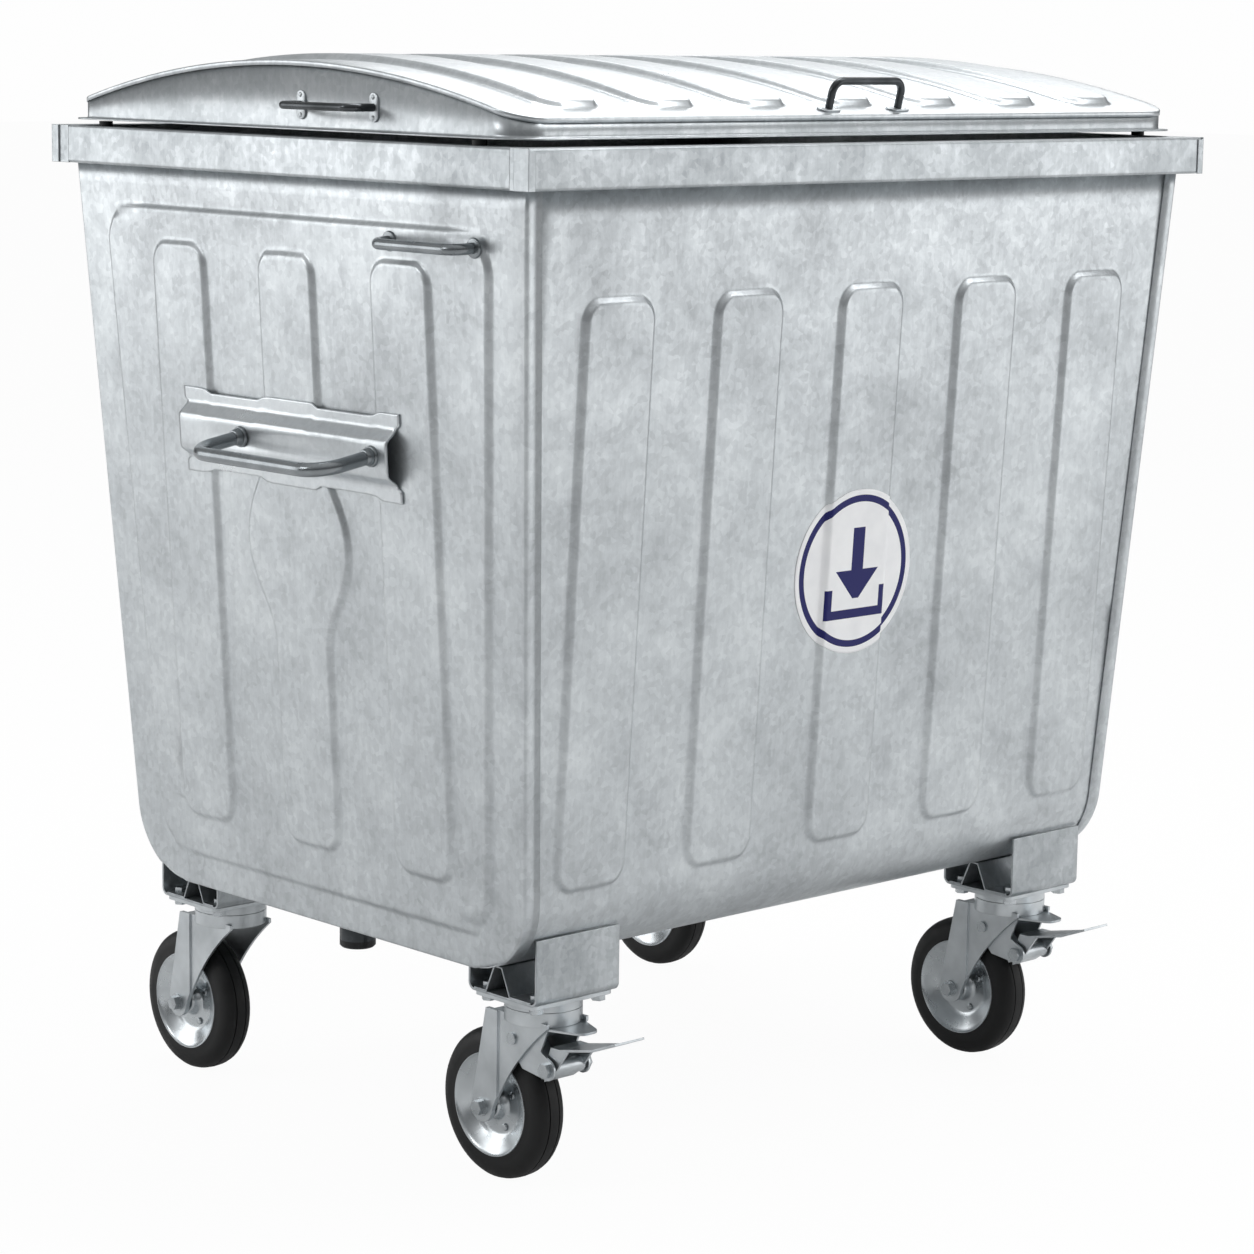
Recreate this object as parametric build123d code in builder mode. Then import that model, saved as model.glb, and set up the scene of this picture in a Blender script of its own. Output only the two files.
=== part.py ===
"""Wheeled waste container: a galvanised sheet-steel tub on four swivel casters, with a hinged barrel lid.

Frame: +Z up, +X to the right along the front, the front faces -Y, origin on the floor under the tub's middle.
All sizes are in millimetres.
"""

import os
from math import asin, cos, degrees, radians, sin, sqrt

from build123d import *

os.makedirs("parts", exist_ok=True)

# Overall sizes
RIM_WIDTH = 1250.0
RIM_DEPTH = 970.0
RIM_TOP = 1328.0
RIM_HEIGHT = 50.0
TUB_BOTTOM = 304.0
TUB_SIDE_INSET = 21.0
TUB_HALF_WIDTH_TOP = RIM_WIDTH / 2 - TUB_SIDE_INSET
TUB_SIDE_TAPER = 60.0
TUB_HALF_WIDTH_BOTTOM = TUB_HALF_WIDTH_TOP - TUB_SIDE_TAPER
TUB_FRONT_INSET = 29.0
TUB_HALF_DEPTH_TOP = RIM_DEPTH / 2 - TUB_FRONT_INSET
TUB_FRONT_TAPER = 58.0
TUB_HALF_DEPTH_BOTTOM = TUB_HALF_DEPTH_TOP - TUB_FRONT_TAPER

# Tub sheets
SHEET = 2.0
WRAP_RADIUS = 100.0
FLANGE_WIDTH = 25.0
SEAT_GAP = 0.3

# Pressed ribs
PRESS_SLOPE = 45.0
WRAP_RIB_WIDTH = 122.0
WRAP_RIB_PITCH = 222.0
WRAP_RIB_COUNT = 5
WRAP_RIB_DEPTH = 7.0
WRAP_RIB_TOP = 1150.0
WRAP_RIB_BOTTOM = 405.0
WRAP_RIB_CORNER = 34.0
PANEL_STEP = 6.0
PANEL_STEP_TOP = 1230.0
PANEL_STEP_BOTTOM = 345.0
PANEL_STEP_MARGIN = 58.0
PANEL_STEP_CORNER = 60.0
SIDE_RIB_WIDTH = 118.0
SIDE_RIB_PITCH = 226.0
SIDE_RIB_DEPTH = 6.0
SIDE_RIB_TOP = 1186.0
SIDE_RIB_BOTTOM = 404.0
SIDE_RIB_CORNER = 34.0
LADLE_RADIUS = 107.0
LADLE_HEIGHT = 808.0
LADLE_BLEND = 60.0

# Rim
RIM_WALL = 2.0
RIM_BOX_DEPTH = 34.5
RIM_SIDE_BOX_WIDTH = 30.0
RIM_EDGE_RADIUS = 4.0
CAP_THICKNESS = 2.0
CAP_FRONT_REACH = 27.0
CAP_REAR_REACH = 15.0
CAP_LIP_WIDTH = 11.0
CAP_LIP_THICKNESS = 1.5
CAP_LIP_DROP = 3.0

# Lid
LID_SIDE_INSET = 19.0
LID_FRONT_INSET = 42.0
LID_REAR_INSET = 48.0
LID_GAP = 7.0
LID_RISE = 87.0
LID_HALF_WIDTH = RIM_WIDTH / 2 - LID_SIDE_INSET
LID_FRONT = RIM_DEPTH / 2 - LID_FRONT_INSET
LID_REAR = RIM_DEPTH / 2 - LID_REAR_INSET
LID_BASE = RIM_TOP + LID_GAP
LID_PEAK = LID_BASE + LID_RISE
LID_ARCH_RADIUS = 1675.0
LID_SHEET = 2.0
LID_FLANGE = 13.0
LID_FLANGE_THICKNESS = 3.0
LID_FRONT_CORNER = 45.0
LID_REAR_CORNER = 14.0
LID_HEM = 1.5
LID_RIB_COUNT = 7
LID_RIB_PITCH = 160.0
LID_RIB_WIDTH = 100.0
LID_RIB_DEPTH = 8.0
LID_RIB_MARGIN = 28.0
LID_RIB_FRONT = LID_FRONT - LID_RIB_MARGIN
LID_RIB_REAR = LID_REAR - LID_RIB_MARGIN
LID_RIB_CORNER = 38.0
PAD_RADIUS = 9.0
PAD_INSET = 57.0
PAD_Y = LID_REAR - PAD_INSET

# Lid hinges
HINGE_X = 430.0
HINGE_STAND_OFF = 5.0
HINGE_RISE = 24.0
HINGE_PIN_Y = RIM_DEPTH / 2 + HINGE_STAND_OFF
HINGE_PIN_Z = RIM_TOP + HINGE_RISE
HINGE_PIN_RADIUS = 6.0
HINGE_RUNNING_GAP = 0.05
HINGE_EAR_RADIUS = 12.0
HINGE_EAR_THICKNESS = 5.0
HINGE_EAR_DROP = 42.0
HINGE_EAR_FOOT_Z = RIM_TOP - HINGE_EAR_DROP
HINGE_LUG_RADIUS = 11.0
HINGE_LUG_THICKNESS = 10.0
HINGE_SIDE_GAP = 0.5

# Rods and handles
PUSH_ROD_RADIUS = 9.0
PUSH_SPAN = 266.0
PUSH_MIDDLE = 52.0
PUSH_REACH = 85.0
PUSH_DROOP = 9.0
PUSH_HEIGHT = 943.0
PUSH_BEND = 38.0
PUSH_COLLAR_RADIUS = 14.0
PUSH_COLLAR_THICKNESS = 4.0
PUSH_ROOT_LIFT = 1.5
PLATE_HALF_LENGTH = 214.0
PLATE_EAR_REACH = 7.0
PLATE_MIDDLE = 940.0
PLATE_HEIGHT = 100.0
PLATE_BULGE = 16.0
PLATE_THICKNESS = 2.5
PLATE_EAR_FLAT = 13.0
PLATE_SLOPE_RUN = 15.0
PLATE_BEND = 9.0
PLATE_LOBE = 6.0
PLATE_HOLE_RADIUS = 4.0
GRAB_ROD_RADIUS = 7.0
GRAB_SPAN = 158.0
GRAB_MIDDLE = 288.0
GRAB_HEIGHT = 1207.0
GRAB_REACH = 30.0
GRAB_BEND = 20.0
GRAB_FOOT_RADIUS = 13.0
GRAB_FOOT_THICKNESS = 3.0
LID_ROD_RADIUS = 5.0
LID_HANDLE_SPAN = 128.0
LID_HANDLE_REACH = 38.0
LID_HANDLE_BEND = 16.0
LID_HANDLE_INSET = 19.0
LID_HANDLE_Y = LID_FRONT - LID_HANDLE_INSET
LID_HANDLE_FOOT_LENGTH = 36.0
LID_HANDLE_FOOT_WIDTH = 18.0
LID_HANDLE_FOOT_THICKNESS = 2.5
END_HANDLE_SPAN = 143.0
END_HANDLE_MIDDLE = 108.0
END_HANDLE_RISE = 32.0
END_HANDLE_HEIGHT = LID_BASE + END_HANDLE_RISE

# Drain
DRAIN_X = -485.0
DRAIN_OUTER_RADIUS = 24.0
DRAIN_BORE_RADIUS = 20.0
DRAIN_LENGTH = 32.0
DRAIN_FLANGE_RADIUS = 31.0
DRAIN_FLANGE_THICKNESS = 3.0
PLUG_GAP = 0.5
PLUG_HEAD = 10.0
PLUG_SHANK = 24.0

# Casters
CASTER_X = 448.0
CASTER_Y = 328.5
CASTER_TRAIL = 75.0
WHEEL_RADIUS = 100.0
TYRE_HALF_WIDTH = 24.0
RIM_SEAT_RADIUS = 67.0
BRACKET_HALF_LENGTH = 70.0
BRACKET_HALF_DEPTH = 64.5
BRACKET_SHEET = 3.0
BRACKET_BOTTOM = 264.0
BRACKET_FLANGE_TOP = 350.0
BRACKET_BEND = 9.0
STIFFENER_SHEET = 2.0
STIFFENER_REACH = 53.5
STIFFENER_HUMP = 31.0
STIFFENER_CREST = 14.0
BOLT_SPACING_X = 105.0
BOLT_SPACING_Y = 90.0
BOLT_RADIUS = 5.0
BOLT_HOLE_RADIUS = 5.5
BOLT_HEX_RADIUS = 9.5
BOLT_HEAD = 6.5
BOLT_NUT = 8.0
TOP_PLATE_LENGTH = 138.0
TOP_PLATE_DEPTH = 114.0
TOP_PLATE_THICKNESS = 5.0
TOP_PLATE_CORNER = 10.0
RACE_RADIUS = 50.0
RACE_BORE = 34.0
RACE_BOTTOM = 246.0
CROWN_TOP = 245.5
CROWN_UNDERSIDE = 227.0
CROWN_PLATE = 6.0
CROWN_RING_BORE = 43.0
KINGPIN_RADIUS = 8.0
KINGPIN_HEAD_RADIUS = 12.0
KINGPIN_HEAD = 3.0
KINGPIN_NUT_RADIUS = 13.0
KINGPIN_NUT = 9.0
RUNNING_GAP = 0.05
FORK_HALF_GAP = 31.5
FORK_SHEET = 4.0
FORK_STRIP_RISE = 2.5
FORK_STRIP_FRONT = 46.0
FORK_REAR_TOP = 68.0
FORK_NOSE = 46.0
FORK_END_RADIUS = 20.0
AXLE_RADIUS = 6.0
AXLE_HEX_RADIUS = 10.0
AXLE_HEAD = 8.0
AXLE_WASHER_RADIUS = 12.0
AXLE_WASHER = 2.0
BEARING_RADIUS = 12.0
HUB_HALF_LENGTH = 25.0
HUB_RADIUS = 17.0
HUB_ROOT_RADIUS = 22.0
DISC_HALF_THICKNESS = 10.0
DISC_RADIUS = 44.0
TREAD_HALF_WIDTH = 14.0
SHOULDER_RADIUS = 91.0

# Brakes of the front casters
SHOE_PIN_Y = 19.0
SHOE_PIN_Z = 202.0
SHOE_PIN_RADIUS = 5.0
SHOE_PIN_HEAD_RADIUS = 8.0
SHOE_PIN_HEAD = 3.0
PEDAL_PIN_Y = -42.0
PEDAL_PIN_Z = 173.0
PEDAL_PIN_RADIUS = 5.0
PEDAL_PIN_HEAD_RADIUS = 10.0
PEDAL_PIN_HEAD = 7.0
CHEEK_SHEET = 3.0
CHEEK_LOBE_RADIUS = 14.0
NOSE_START_Y = -20.0
NOSE_TIP_Y = -89.0
NOSE_TIP_RADIUS = 14.0
NOSE_SHEET = 3.0
PEDAL_HALF_WIDTH = 25.0
PEDAL_SHEET = 3.0
PEDAL_ROOT = (-58.0, 200.0)
PEDAL_BEND = (-118.0, 213.0)
PEDAL_TIP = (-160.0, 230.0)
PEDAL_LUG = 3.0
PEDAL_HUB_RADIUS = 11.0
PEDAL_CAM_REACH = 22.0
SHOE_HALF_WIDTH = 17.0
SHOE_EYE_RADIUS = 9.0
SHOE_THICKNESS = 6.0
SHOE_GAP = 6.0
SHOE_START = 118.0
SHOE_SWEEP = 32.0

# Worked-out places
RIM_BOTTOM = RIM_TOP - RIM_HEIGHT
TUB_HEIGHT = RIM_BOTTOM - TUB_BOTTOM
DEPTH_SLOPE = (TUB_HALF_DEPTH_TOP - TUB_HALF_DEPTH_BOTTOM) / TUB_HEIGHT
WIDTH_SLOPE = (TUB_HALF_WIDTH_TOP - TUB_HALF_WIDTH_BOTTOM) / TUB_HEIGHT
FACE_MIDDLE = (WRAP_RIB_TOP + WRAP_RIB_BOTTOM) / 2
BOX_OUTER = RIM_DEPTH / 2 - CAP_LIP_THICKNESS
BOX_INNER = BOX_OUTER - RIM_BOX_DEPTH
BOX_END = RIM_WIDTH / 2 - CAP_THICKNESS
ARCH_AXIS_Z = LID_PEAK - LID_ARCH_RADIUS
SIDES = (("left", -1), ("right", 1))
ENDS = (("front", -1), ("rear", 1))
CORNERS = [(f"{end}_{side}", s, e) for end, e in ENDS for side, s in SIDES]


def half_depth(height):
    """Outer half depth of the tub's wrap sheet at a height."""
    return TUB_HALF_DEPTH_BOTTOM + DEPTH_SLOPE * (height - TUB_BOTTOM)


def half_width(height):
    """Outer half width of the tub's side panels at a height."""
    return TUB_HALF_WIDTH_BOTTOM + WIDTH_SLOPE * (height - TUB_BOTTOM)


def arch_height(y, rise=0.0):
    """Height of the lid's barrel at a depth, with a rise above the plain sheet."""
    return ARCH_AXIS_Z + sqrt((LID_ARCH_RADIUS + rise) ** 2 - y**2)


def tub_section(grow):
    """The tub's U section seen from the side, grown outwards from the wrap's outer face."""
    floor = TUB_BOTTOM - grow
    top = half_depth(RIM_BOTTOM) + grow
    bottom = half_depth(floor) + grow
    with BuildSketch(Plane.YZ) as section:
        with BuildLine():
            Polyline((-top, RIM_BOTTOM), (-bottom, floor), (bottom, floor), (top, RIM_BOTTOM), close=True)
        make_face()
        fillet(section.vertices().group_by(Axis.Y)[0], WRAP_RADIUS + grow)
    return section.sketch


def side_band(side, outer, inner):
    """A band along one side wall seen from the front, between two depths below the wall's outer face."""
    top, bottom = RIM_BOTTOM, TUB_BOTTOM - 2 * SHEET
    with BuildSketch(Plane.XZ) as band:
        with BuildLine():
            Polyline(
                (side * (half_width(top) - outer), top),
                (side * (half_width(bottom) - outer), bottom),
                (side * (half_width(bottom) - inner), bottom),
                (side * (half_width(top) - inner), top),
                close=True,
            )
        make_face()
    return band.sketch


def wrap_face(end, height, lift=0.0):
    """Plane on the wrap's outer face at the front (-1) or rear (1), local Y up the slope."""
    normal = Vector(0, end, -DEPTH_SLOPE).normalized()
    origin = Vector(0, end * half_depth(height), height) + normal * lift
    return Plane(origin=origin, x_dir=(-end, 0, 0), z_dir=normal)


def side_face(side, height, lift=0.0):
    """Plane on a side panel's outer face, local Y up the slope, local X along the depth."""
    normal = Vector(side, 0, -WIDTH_SLOPE).normalized()
    origin = Vector(side * half_width(height), 0, height) + normal * lift
    return Plane(origin=origin, x_dir=(0, side, 0), z_dir=normal)


def press_inset(sheet):
    """How much smaller the inside of a pressed form is at its foot, for one wall thickness."""
    return sheet * (sqrt(2) - 1)


# Wrap sheet: front, floor and rear in one piece, with five pressed ribs at the front and at the rear
tub_outside = tub_section(0)
tub_inside = tub_section(-SHEET)
tub_flanged = tub_section(SHEET)
rib_height = WRAP_RIB_TOP - WRAP_RIB_BOTTOM
with BuildPart() as wrap_sheet:
    extrude(tub_outside, amount=RIM_WIDTH / 2, both=True)
    extrude(tub_inside, amount=RIM_WIDTH / 2, both=True, mode=Mode.SUBTRACT)
    for _, side in SIDES:
        extrude(side_band(side, -SHEET, SHEET), amount=RIM_DEPTH, both=True, mode=Mode.SUBTRACT)
        extrude(side_band(side, -RIM_WIDTH, 0), amount=RIM_DEPTH, both=True, mode=Mode.SUBTRACT)
    for _, end in ENDS:
        with BuildSketch(wrap_face(end, FACE_MIDDLE)):
            with GridLocations(WRAP_RIB_PITCH, 1, WRAP_RIB_COUNT, 1):
                RectangleRounded(WRAP_RIB_WIDTH, rib_height, WRAP_RIB_CORNER)
        extrude(amount=WRAP_RIB_DEPTH, taper=PRESS_SLOPE)
    for _, end in ENDS:
        inset = press_inset(SHEET)
        with BuildSketch(wrap_face(end, FACE_MIDDLE, -SHEET)):
            with GridLocations(WRAP_RIB_PITCH, 1, WRAP_RIB_COUNT, 1):
                RectangleRounded(WRAP_RIB_WIDTH - 2 * inset, rib_height - 2 * inset, WRAP_RIB_CORNER - inset)
        extrude(amount=WRAP_RIB_DEPTH, taper=PRESS_SLOPE, mode=Mode.SUBTRACT)
    with Locations((DRAIN_X, 0, TUB_BOTTOM)):
        Hole(DRAIN_BORE_RADIUS, depth=2 * SHEET)
wrap_sheet.part.label = "wrap_sheet"
export_step(wrap_sheet.part, "parts/wrap_sheet.step")


def step_outline(side, lift, inset):
    """The raised field of a side panel: a tapering rounded panel, smaller by an inset."""
    middle = (PANEL_STEP_TOP + PANEL_STEP_BOTTOM) / 2
    half_high = (PANEL_STEP_TOP - PANEL_STEP_BOTTOM) / 2 - inset
    wide = half_depth(PANEL_STEP_TOP) - PANEL_STEP_MARGIN - inset
    narrow = half_depth(PANEL_STEP_BOTTOM) - PANEL_STEP_MARGIN - inset
    with BuildSketch(side_face(side, middle, lift)) as outline:
        with BuildLine():
            Polyline((-wide, half_high), (-narrow, -half_high), (narrow, -half_high), (wide, half_high), close=True)
        make_face()
        fillet(outline.vertices(), PANEL_STEP_CORNER - inset)
    return outline.sketch


def side_rib_outline(side, lift, inset):
    """Three upright ribs of a side panel, the middle one with a round ladle."""
    middle = (SIDE_RIB_TOP + SIDE_RIB_BOTTOM) / 2
    height = SIDE_RIB_TOP - SIDE_RIB_BOTTOM - 2 * inset
    with BuildSketch(side_face(side, middle, lift)) as outline:
        with Locations((0, LADLE_HEIGHT - middle)):
            Circle(LADLE_RADIUS - inset)
        RectangleRounded(SIDE_RIB_WIDTH - 2 * inset, height, SIDE_RIB_CORNER - inset)
        on_edges = outline.vertices().filter_by(lambda v: abs(v.X) < SIDE_RIB_WIDTH / 2 + SHEET)
        necks = on_edges.sort_by_distance((0, LADLE_HEIGHT - middle, 0))[:4]
        fillet(necks, LADLE_BLEND + inset)
        with Locations((-SIDE_RIB_PITCH, 0), (SIDE_RIB_PITCH, 0)):
            RectangleRounded(SIDE_RIB_WIDTH - 2 * inset, height, SIDE_RIB_CORNER - inset)
    return outline.sketch


# Side panels: dished plates with a flange lapped round the wrap, a raised field and three ribs
for side_name, side in SIDES:
    with BuildPart() as tub_room:
        extrude(side_band(side, SHEET, 2 * FLANGE_WIDTH), amount=RIM_DEPTH, both=True)
        extrude(tub_outside, amount=RIM_WIDTH, both=True, mode=Mode.INTERSECT)
    field = step_outline(side, 0, 0)
    field_inside = step_outline(side, -SHEET, press_inset(SHEET))
    ribs = side_rib_outline(side, PANEL_STEP, 0)
    ribs_inside = side_rib_outline(side, PANEL_STEP - SHEET, press_inset(SHEET))
    with BuildPart() as side_panel:
        extrude(side_band(side, 0, FLANGE_WIDTH), amount=RIM_DEPTH, both=True)
        extrude(tub_flanged, amount=RIM_WIDTH, both=True, mode=Mode.INTERSECT)
        add(tub_room.part, mode=Mode.SUBTRACT)
        extrude(field, amount=PANEL_STEP, taper=PRESS_SLOPE)
        extrude(field_inside, amount=PANEL_STEP, taper=PRESS_SLOPE, mode=Mode.SUBTRACT)
        extrude(ribs, amount=SIDE_RIB_DEPTH, taper=PRESS_SLOPE)
        extrude(ribs_inside, amount=SIDE_RIB_DEPTH, taper=PRESS_SLOPE, mode=Mode.SUBTRACT)
    side_panel.part.label = f"side_panel_{side_name}"
    export_step(side_panel.part, f"parts/side_panel_{side_name}.step")

# Rim: box profiles along the front and rear with closed ends, and shorter ones between them at the sides
box_middle = (BOX_OUTER + BOX_INNER) / 2
rim_middle = RIM_TOP - RIM_HEIGHT / 2
for end_name, end in ENDS:
    with BuildPart() as rim_long:
        with Locations((0, end * box_middle, rim_middle)):
            Box(2 * BOX_END, RIM_BOX_DEPTH, RIM_HEIGHT)
        outer_face = rim_long.faces().sort_by(Axis.Y)[0 if end < 0 else -1]
        fillet(outer_face.edges().filter_by(Axis.X), RIM_EDGE_RADIUS)
        with Locations((0, end * box_middle, rim_middle)):
            Box(
                2 * (BOX_END - RIM_WALL),
                RIM_BOX_DEPTH - 2 * RIM_WALL,
                RIM_HEIGHT - 2 * RIM_WALL,
                mode=Mode.SUBTRACT,
            )
    rim_long.part.label = f"rim_{end_name}"
    export_step(rim_long.part, f"parts/rim_{end_name}.step")
for side_name, side in SIDES:
    side_middle = side * (BOX_END - RIM_SIDE_BOX_WIDTH / 2)
    with BuildPart() as rim_short:
        with Locations((side_middle, 0, rim_middle)):
            Box(RIM_SIDE_BOX_WIDTH, 2 * BOX_INNER, RIM_HEIGHT)
        outer_face = rim_short.faces().sort_by(Axis.X)[0 if side < 0 else -1]
        fillet(outer_face.edges().filter_by(Axis.Y), RIM_EDGE_RADIUS)
        with Locations((side_middle, 0, rim_middle)):
            Box(
                RIM_SIDE_BOX_WIDTH - 2 * RIM_WALL,
                2 * BOX_INNER,
                RIM_HEIGHT - 2 * RIM_WALL,
                mode=Mode.SUBTRACT,
            )
    rim_short.part.label = f"rim_{side_name}"
    export_step(rim_short.part, f"parts/rim_{side_name}.step")

# Corner caps: folded plates that close the rim's four corners
with BuildPart() as rim_corner_caps:
    for _, side, end in CORNERS:
        reach = CAP_FRONT_REACH if end < 0 else CAP_REAR_REACH
        end_y = end * (RIM_DEPTH / 2 - reach / 2)
        with Locations((side * (RIM_WIDTH / 2 - CAP_THICKNESS / 2), end_y, rim_middle)):
            Box(CAP_THICKNESS, reach, RIM_HEIGHT)
        lip_x = side * (RIM_WIDTH / 2 - CAP_LIP_WIDTH / 2)
        lip_y = end * (RIM_DEPTH / 2 - CAP_LIP_THICKNESS / 2)
        with Locations((lip_x, lip_y, rim_middle - CAP_LIP_DROP / 2)):
            Box(CAP_LIP_WIDTH, CAP_LIP_THICKNESS, RIM_HEIGHT - CAP_LIP_DROP)
rim_corner_caps.part.label = "rim_corner_caps"
export_step(rim_corner_caps.part, "parts/rim_corner_caps.step")


def lid_plan(grow, front_corner, rear_corner):
    """The lid's outline from above, grown outwards."""
    with BuildSketch(Plane.XY.offset(LID_BASE)) as plan:
        with Locations((0, (LID_REAR - LID_FRONT) / 2)):
            Rectangle(2 * (LID_HALF_WIDTH + grow), LID_FRONT + LID_REAR + 2 * grow)
        fillet(plan.vertices().group_by(Axis.Y)[0], front_corner + grow)
        fillet(plan.vertices().group_by(Axis.Y)[-1], rear_corner + grow)
    return plan.sketch


def barrel_band(low, high):
    """Section of the lid's barrel between two heights above the plain sheet, seen from the side."""
    reach = LID_FRONT + 4 * LID_FLANGE
    with BuildSketch(Plane.YZ) as band:
        with BuildLine():
            ThreePointArc(
                (-reach, arch_height(reach, low)), (0, arch_height(0, low)), (reach, arch_height(reach, low))
            )
            Line((reach, arch_height(reach, low)), (reach, arch_height(reach, high)))
            ThreePointArc(
                (reach, arch_height(reach, high)), (0, arch_height(0, high)), (-reach, arch_height(reach, high))
            )
            Line((-reach, arch_height(reach, high)), (-reach, arch_height(reach, low)))
        make_face()
    return band.sketch


def lid_rib_plan(inset):
    """Outlines of the lid's ribs from above, smaller by an inset."""
    with BuildSketch(Plane.XY.offset(LID_BASE)) as plan:
        with Locations((0, (LID_RIB_REAR - LID_RIB_FRONT) / 2)):
            with GridLocations(LID_RIB_PITCH, 1, LID_RIB_COUNT, 1):
                RectangleRounded(
                    LID_RIB_WIDTH - 2 * inset, LID_RIB_FRONT + LID_RIB_REAR - 2 * inset, LID_RIB_CORNER - inset
                )
    return plan.sketch


# Lid sheet: a barrel-rolled sheet with seven pressed ribs from front to rear, hemmed over the frame
lid_tall = 2 * (LID_PEAK - LID_BASE)
hem_plan = lid_plan(LID_HEM, LID_FRONT_CORNER, LID_REAR_CORNER)
plain_band = barrel_band(-LID_SHEET, 0)
with BuildPart() as rib_bodies:
    extrude(lid_rib_plan(0), amount=lid_tall)
    extrude(barrel_band(-LID_SHEET, LID_RIB_DEPTH), amount=RIM_WIDTH / 2, both=True, mode=Mode.INTERSECT)
    crests = rib_bodies.faces().filter_by(GeomType.CYLINDER).filter_by(lambda f: f.radius > LID_ARCH_RADIUS)
    chamfer(crests.edges(), LID_RIB_DEPTH - LID_SHEET / 2)
with BuildPart() as rib_hollows:
    extrude(lid_rib_plan(LID_SHEET), amount=lid_tall)
    extrude(
        barrel_band(-2 * LID_SHEET, LID_RIB_DEPTH - LID_SHEET),
        amount=RIM_WIDTH / 2,
        both=True,
        mode=Mode.INTERSECT,
    )
    hollow_crests = rib_hollows.faces().filter_by(GeomType.CYLINDER).filter_by(lambda f: f.radius > LID_ARCH_RADIUS)
    chamfer(hollow_crests.edges(), LID_RIB_DEPTH - LID_SHEET)
with BuildPart() as lid_sheet:
    extrude(hem_plan, amount=lid_tall)
    extrude(plain_band, amount=RIM_WIDTH, both=True, mode=Mode.INTERSECT)
    add(rib_bodies.part)
    add(rib_hollows.part, mode=Mode.SUBTRACT)
lid_sheet.part.label = "lid_sheet"
export_step(lid_sheet.part, "parts/lid_sheet.step")

# Lid frame: end walls and skirts in one band under the barrel, with an outward flange at its foot
skirt_plan = lid_plan(0, LID_FRONT_CORNER, LID_REAR_CORNER)
skirt_inside = lid_plan(-LID_SHEET, LID_FRONT_CORNER, LID_REAR_CORNER)
flange_plan = lid_plan(LID_FLANGE, LID_FRONT_CORNER, LID_REAR_CORNER)
above_arch = barrel_band(-LID_SHEET, 2 * lid_tall)
with BuildPart() as lid_frame:
    extrude(skirt_plan, amount=lid_tall)
    extrude(flange_plan, amount=LID_FLANGE_THICKNESS)
    extrude(skirt_inside, amount=lid_tall, mode=Mode.SUBTRACT)
    extrude(above_arch, amount=RIM_WIDTH, both=True, mode=Mode.SUBTRACT)
lid_frame.part.label = "lid_frame"
export_step(lid_frame.part, "parts/lid_frame.step")

# Rubber rest pads between the rim and the lid's flange
pad_x = LID_HALF_WIDTH + LID_FLANGE - PAD_RADIUS
with BuildPart() as lid_rest_pads:
    with BuildSketch(Plane.XY.offset(RIM_TOP)):
        with GridLocations(2 * pad_x, 2 * PAD_Y, 2, 2):
            Circle(PAD_RADIUS)
    extrude(amount=LID_BASE - RIM_TOP - SEAT_GAP)
lid_rest_pads.part.label = "lid_rest_pads"
export_step(lid_rest_pads.part, "parts/lid_rest_pads.step")

# Lid hinges: pairs of ears on the rear rim, a pin through each pair, and a lug on the lid between them
ear_offset = HINGE_LUG_THICKNESS / 2 + HINGE_SIDE_GAP + HINGE_EAR_THICKNESS / 2
ear_places = [side * HINGE_X + shift for _, side in SIDES for shift in (-ear_offset, ear_offset)]
with BuildPart() as hinge_ears:
    for x in ear_places:
        with BuildSketch(Plane.YZ.offset(x - HINGE_EAR_THICKNESS / 2)):
            with BuildLine():
                foot = Line((BOX_OUTER, RIM_TOP), (BOX_OUTER, HINGE_EAR_FOOT_Z))
                Line(foot @ 1, (HINGE_PIN_Y, HINGE_EAR_FOOT_Z))
                Line((HINGE_PIN_Y, HINGE_EAR_FOOT_Z), (HINGE_PIN_Y + HINGE_EAR_RADIUS, RIM_TOP))
                Line((HINGE_PIN_Y + HINGE_EAR_RADIUS, RIM_TOP), (HINGE_PIN_Y + HINGE_EAR_RADIUS, HINGE_PIN_Z))
                Line((HINGE_PIN_Y + HINGE_EAR_RADIUS, HINGE_PIN_Z), (BOX_OUTER, HINGE_PIN_Z))
                Line((BOX_OUTER, HINGE_PIN_Z), foot @ 0)
            make_face()
            with Locations((HINGE_PIN_Y, HINGE_PIN_Z)):
                Circle(HINGE_EAR_RADIUS)
                Circle(HINGE_PIN_RADIUS + HINGE_RUNNING_GAP, mode=Mode.SUBTRACT)
        extrude(amount=HINGE_EAR_THICKNESS)
hinge_ears.part.label = "hinge_ears"
export_step(hinge_ears.part, "parts/hinge_ears.step")

pin_half = ear_offset + HINGE_EAR_THICKNESS
with BuildPart() as hinge_pins:
    for _, side in SIDES:
        with BuildSketch(Plane.YZ.offset(side * HINGE_X - pin_half)):
            with Locations((HINGE_PIN_Y, HINGE_PIN_Z)):
                Circle(HINGE_PIN_RADIUS)
        extrude(amount=2 * pin_half)
hinge_pins.part.label = "hinge_pins"
export_step(hinge_pins.part, "parts/hinge_pins.step")

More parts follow.
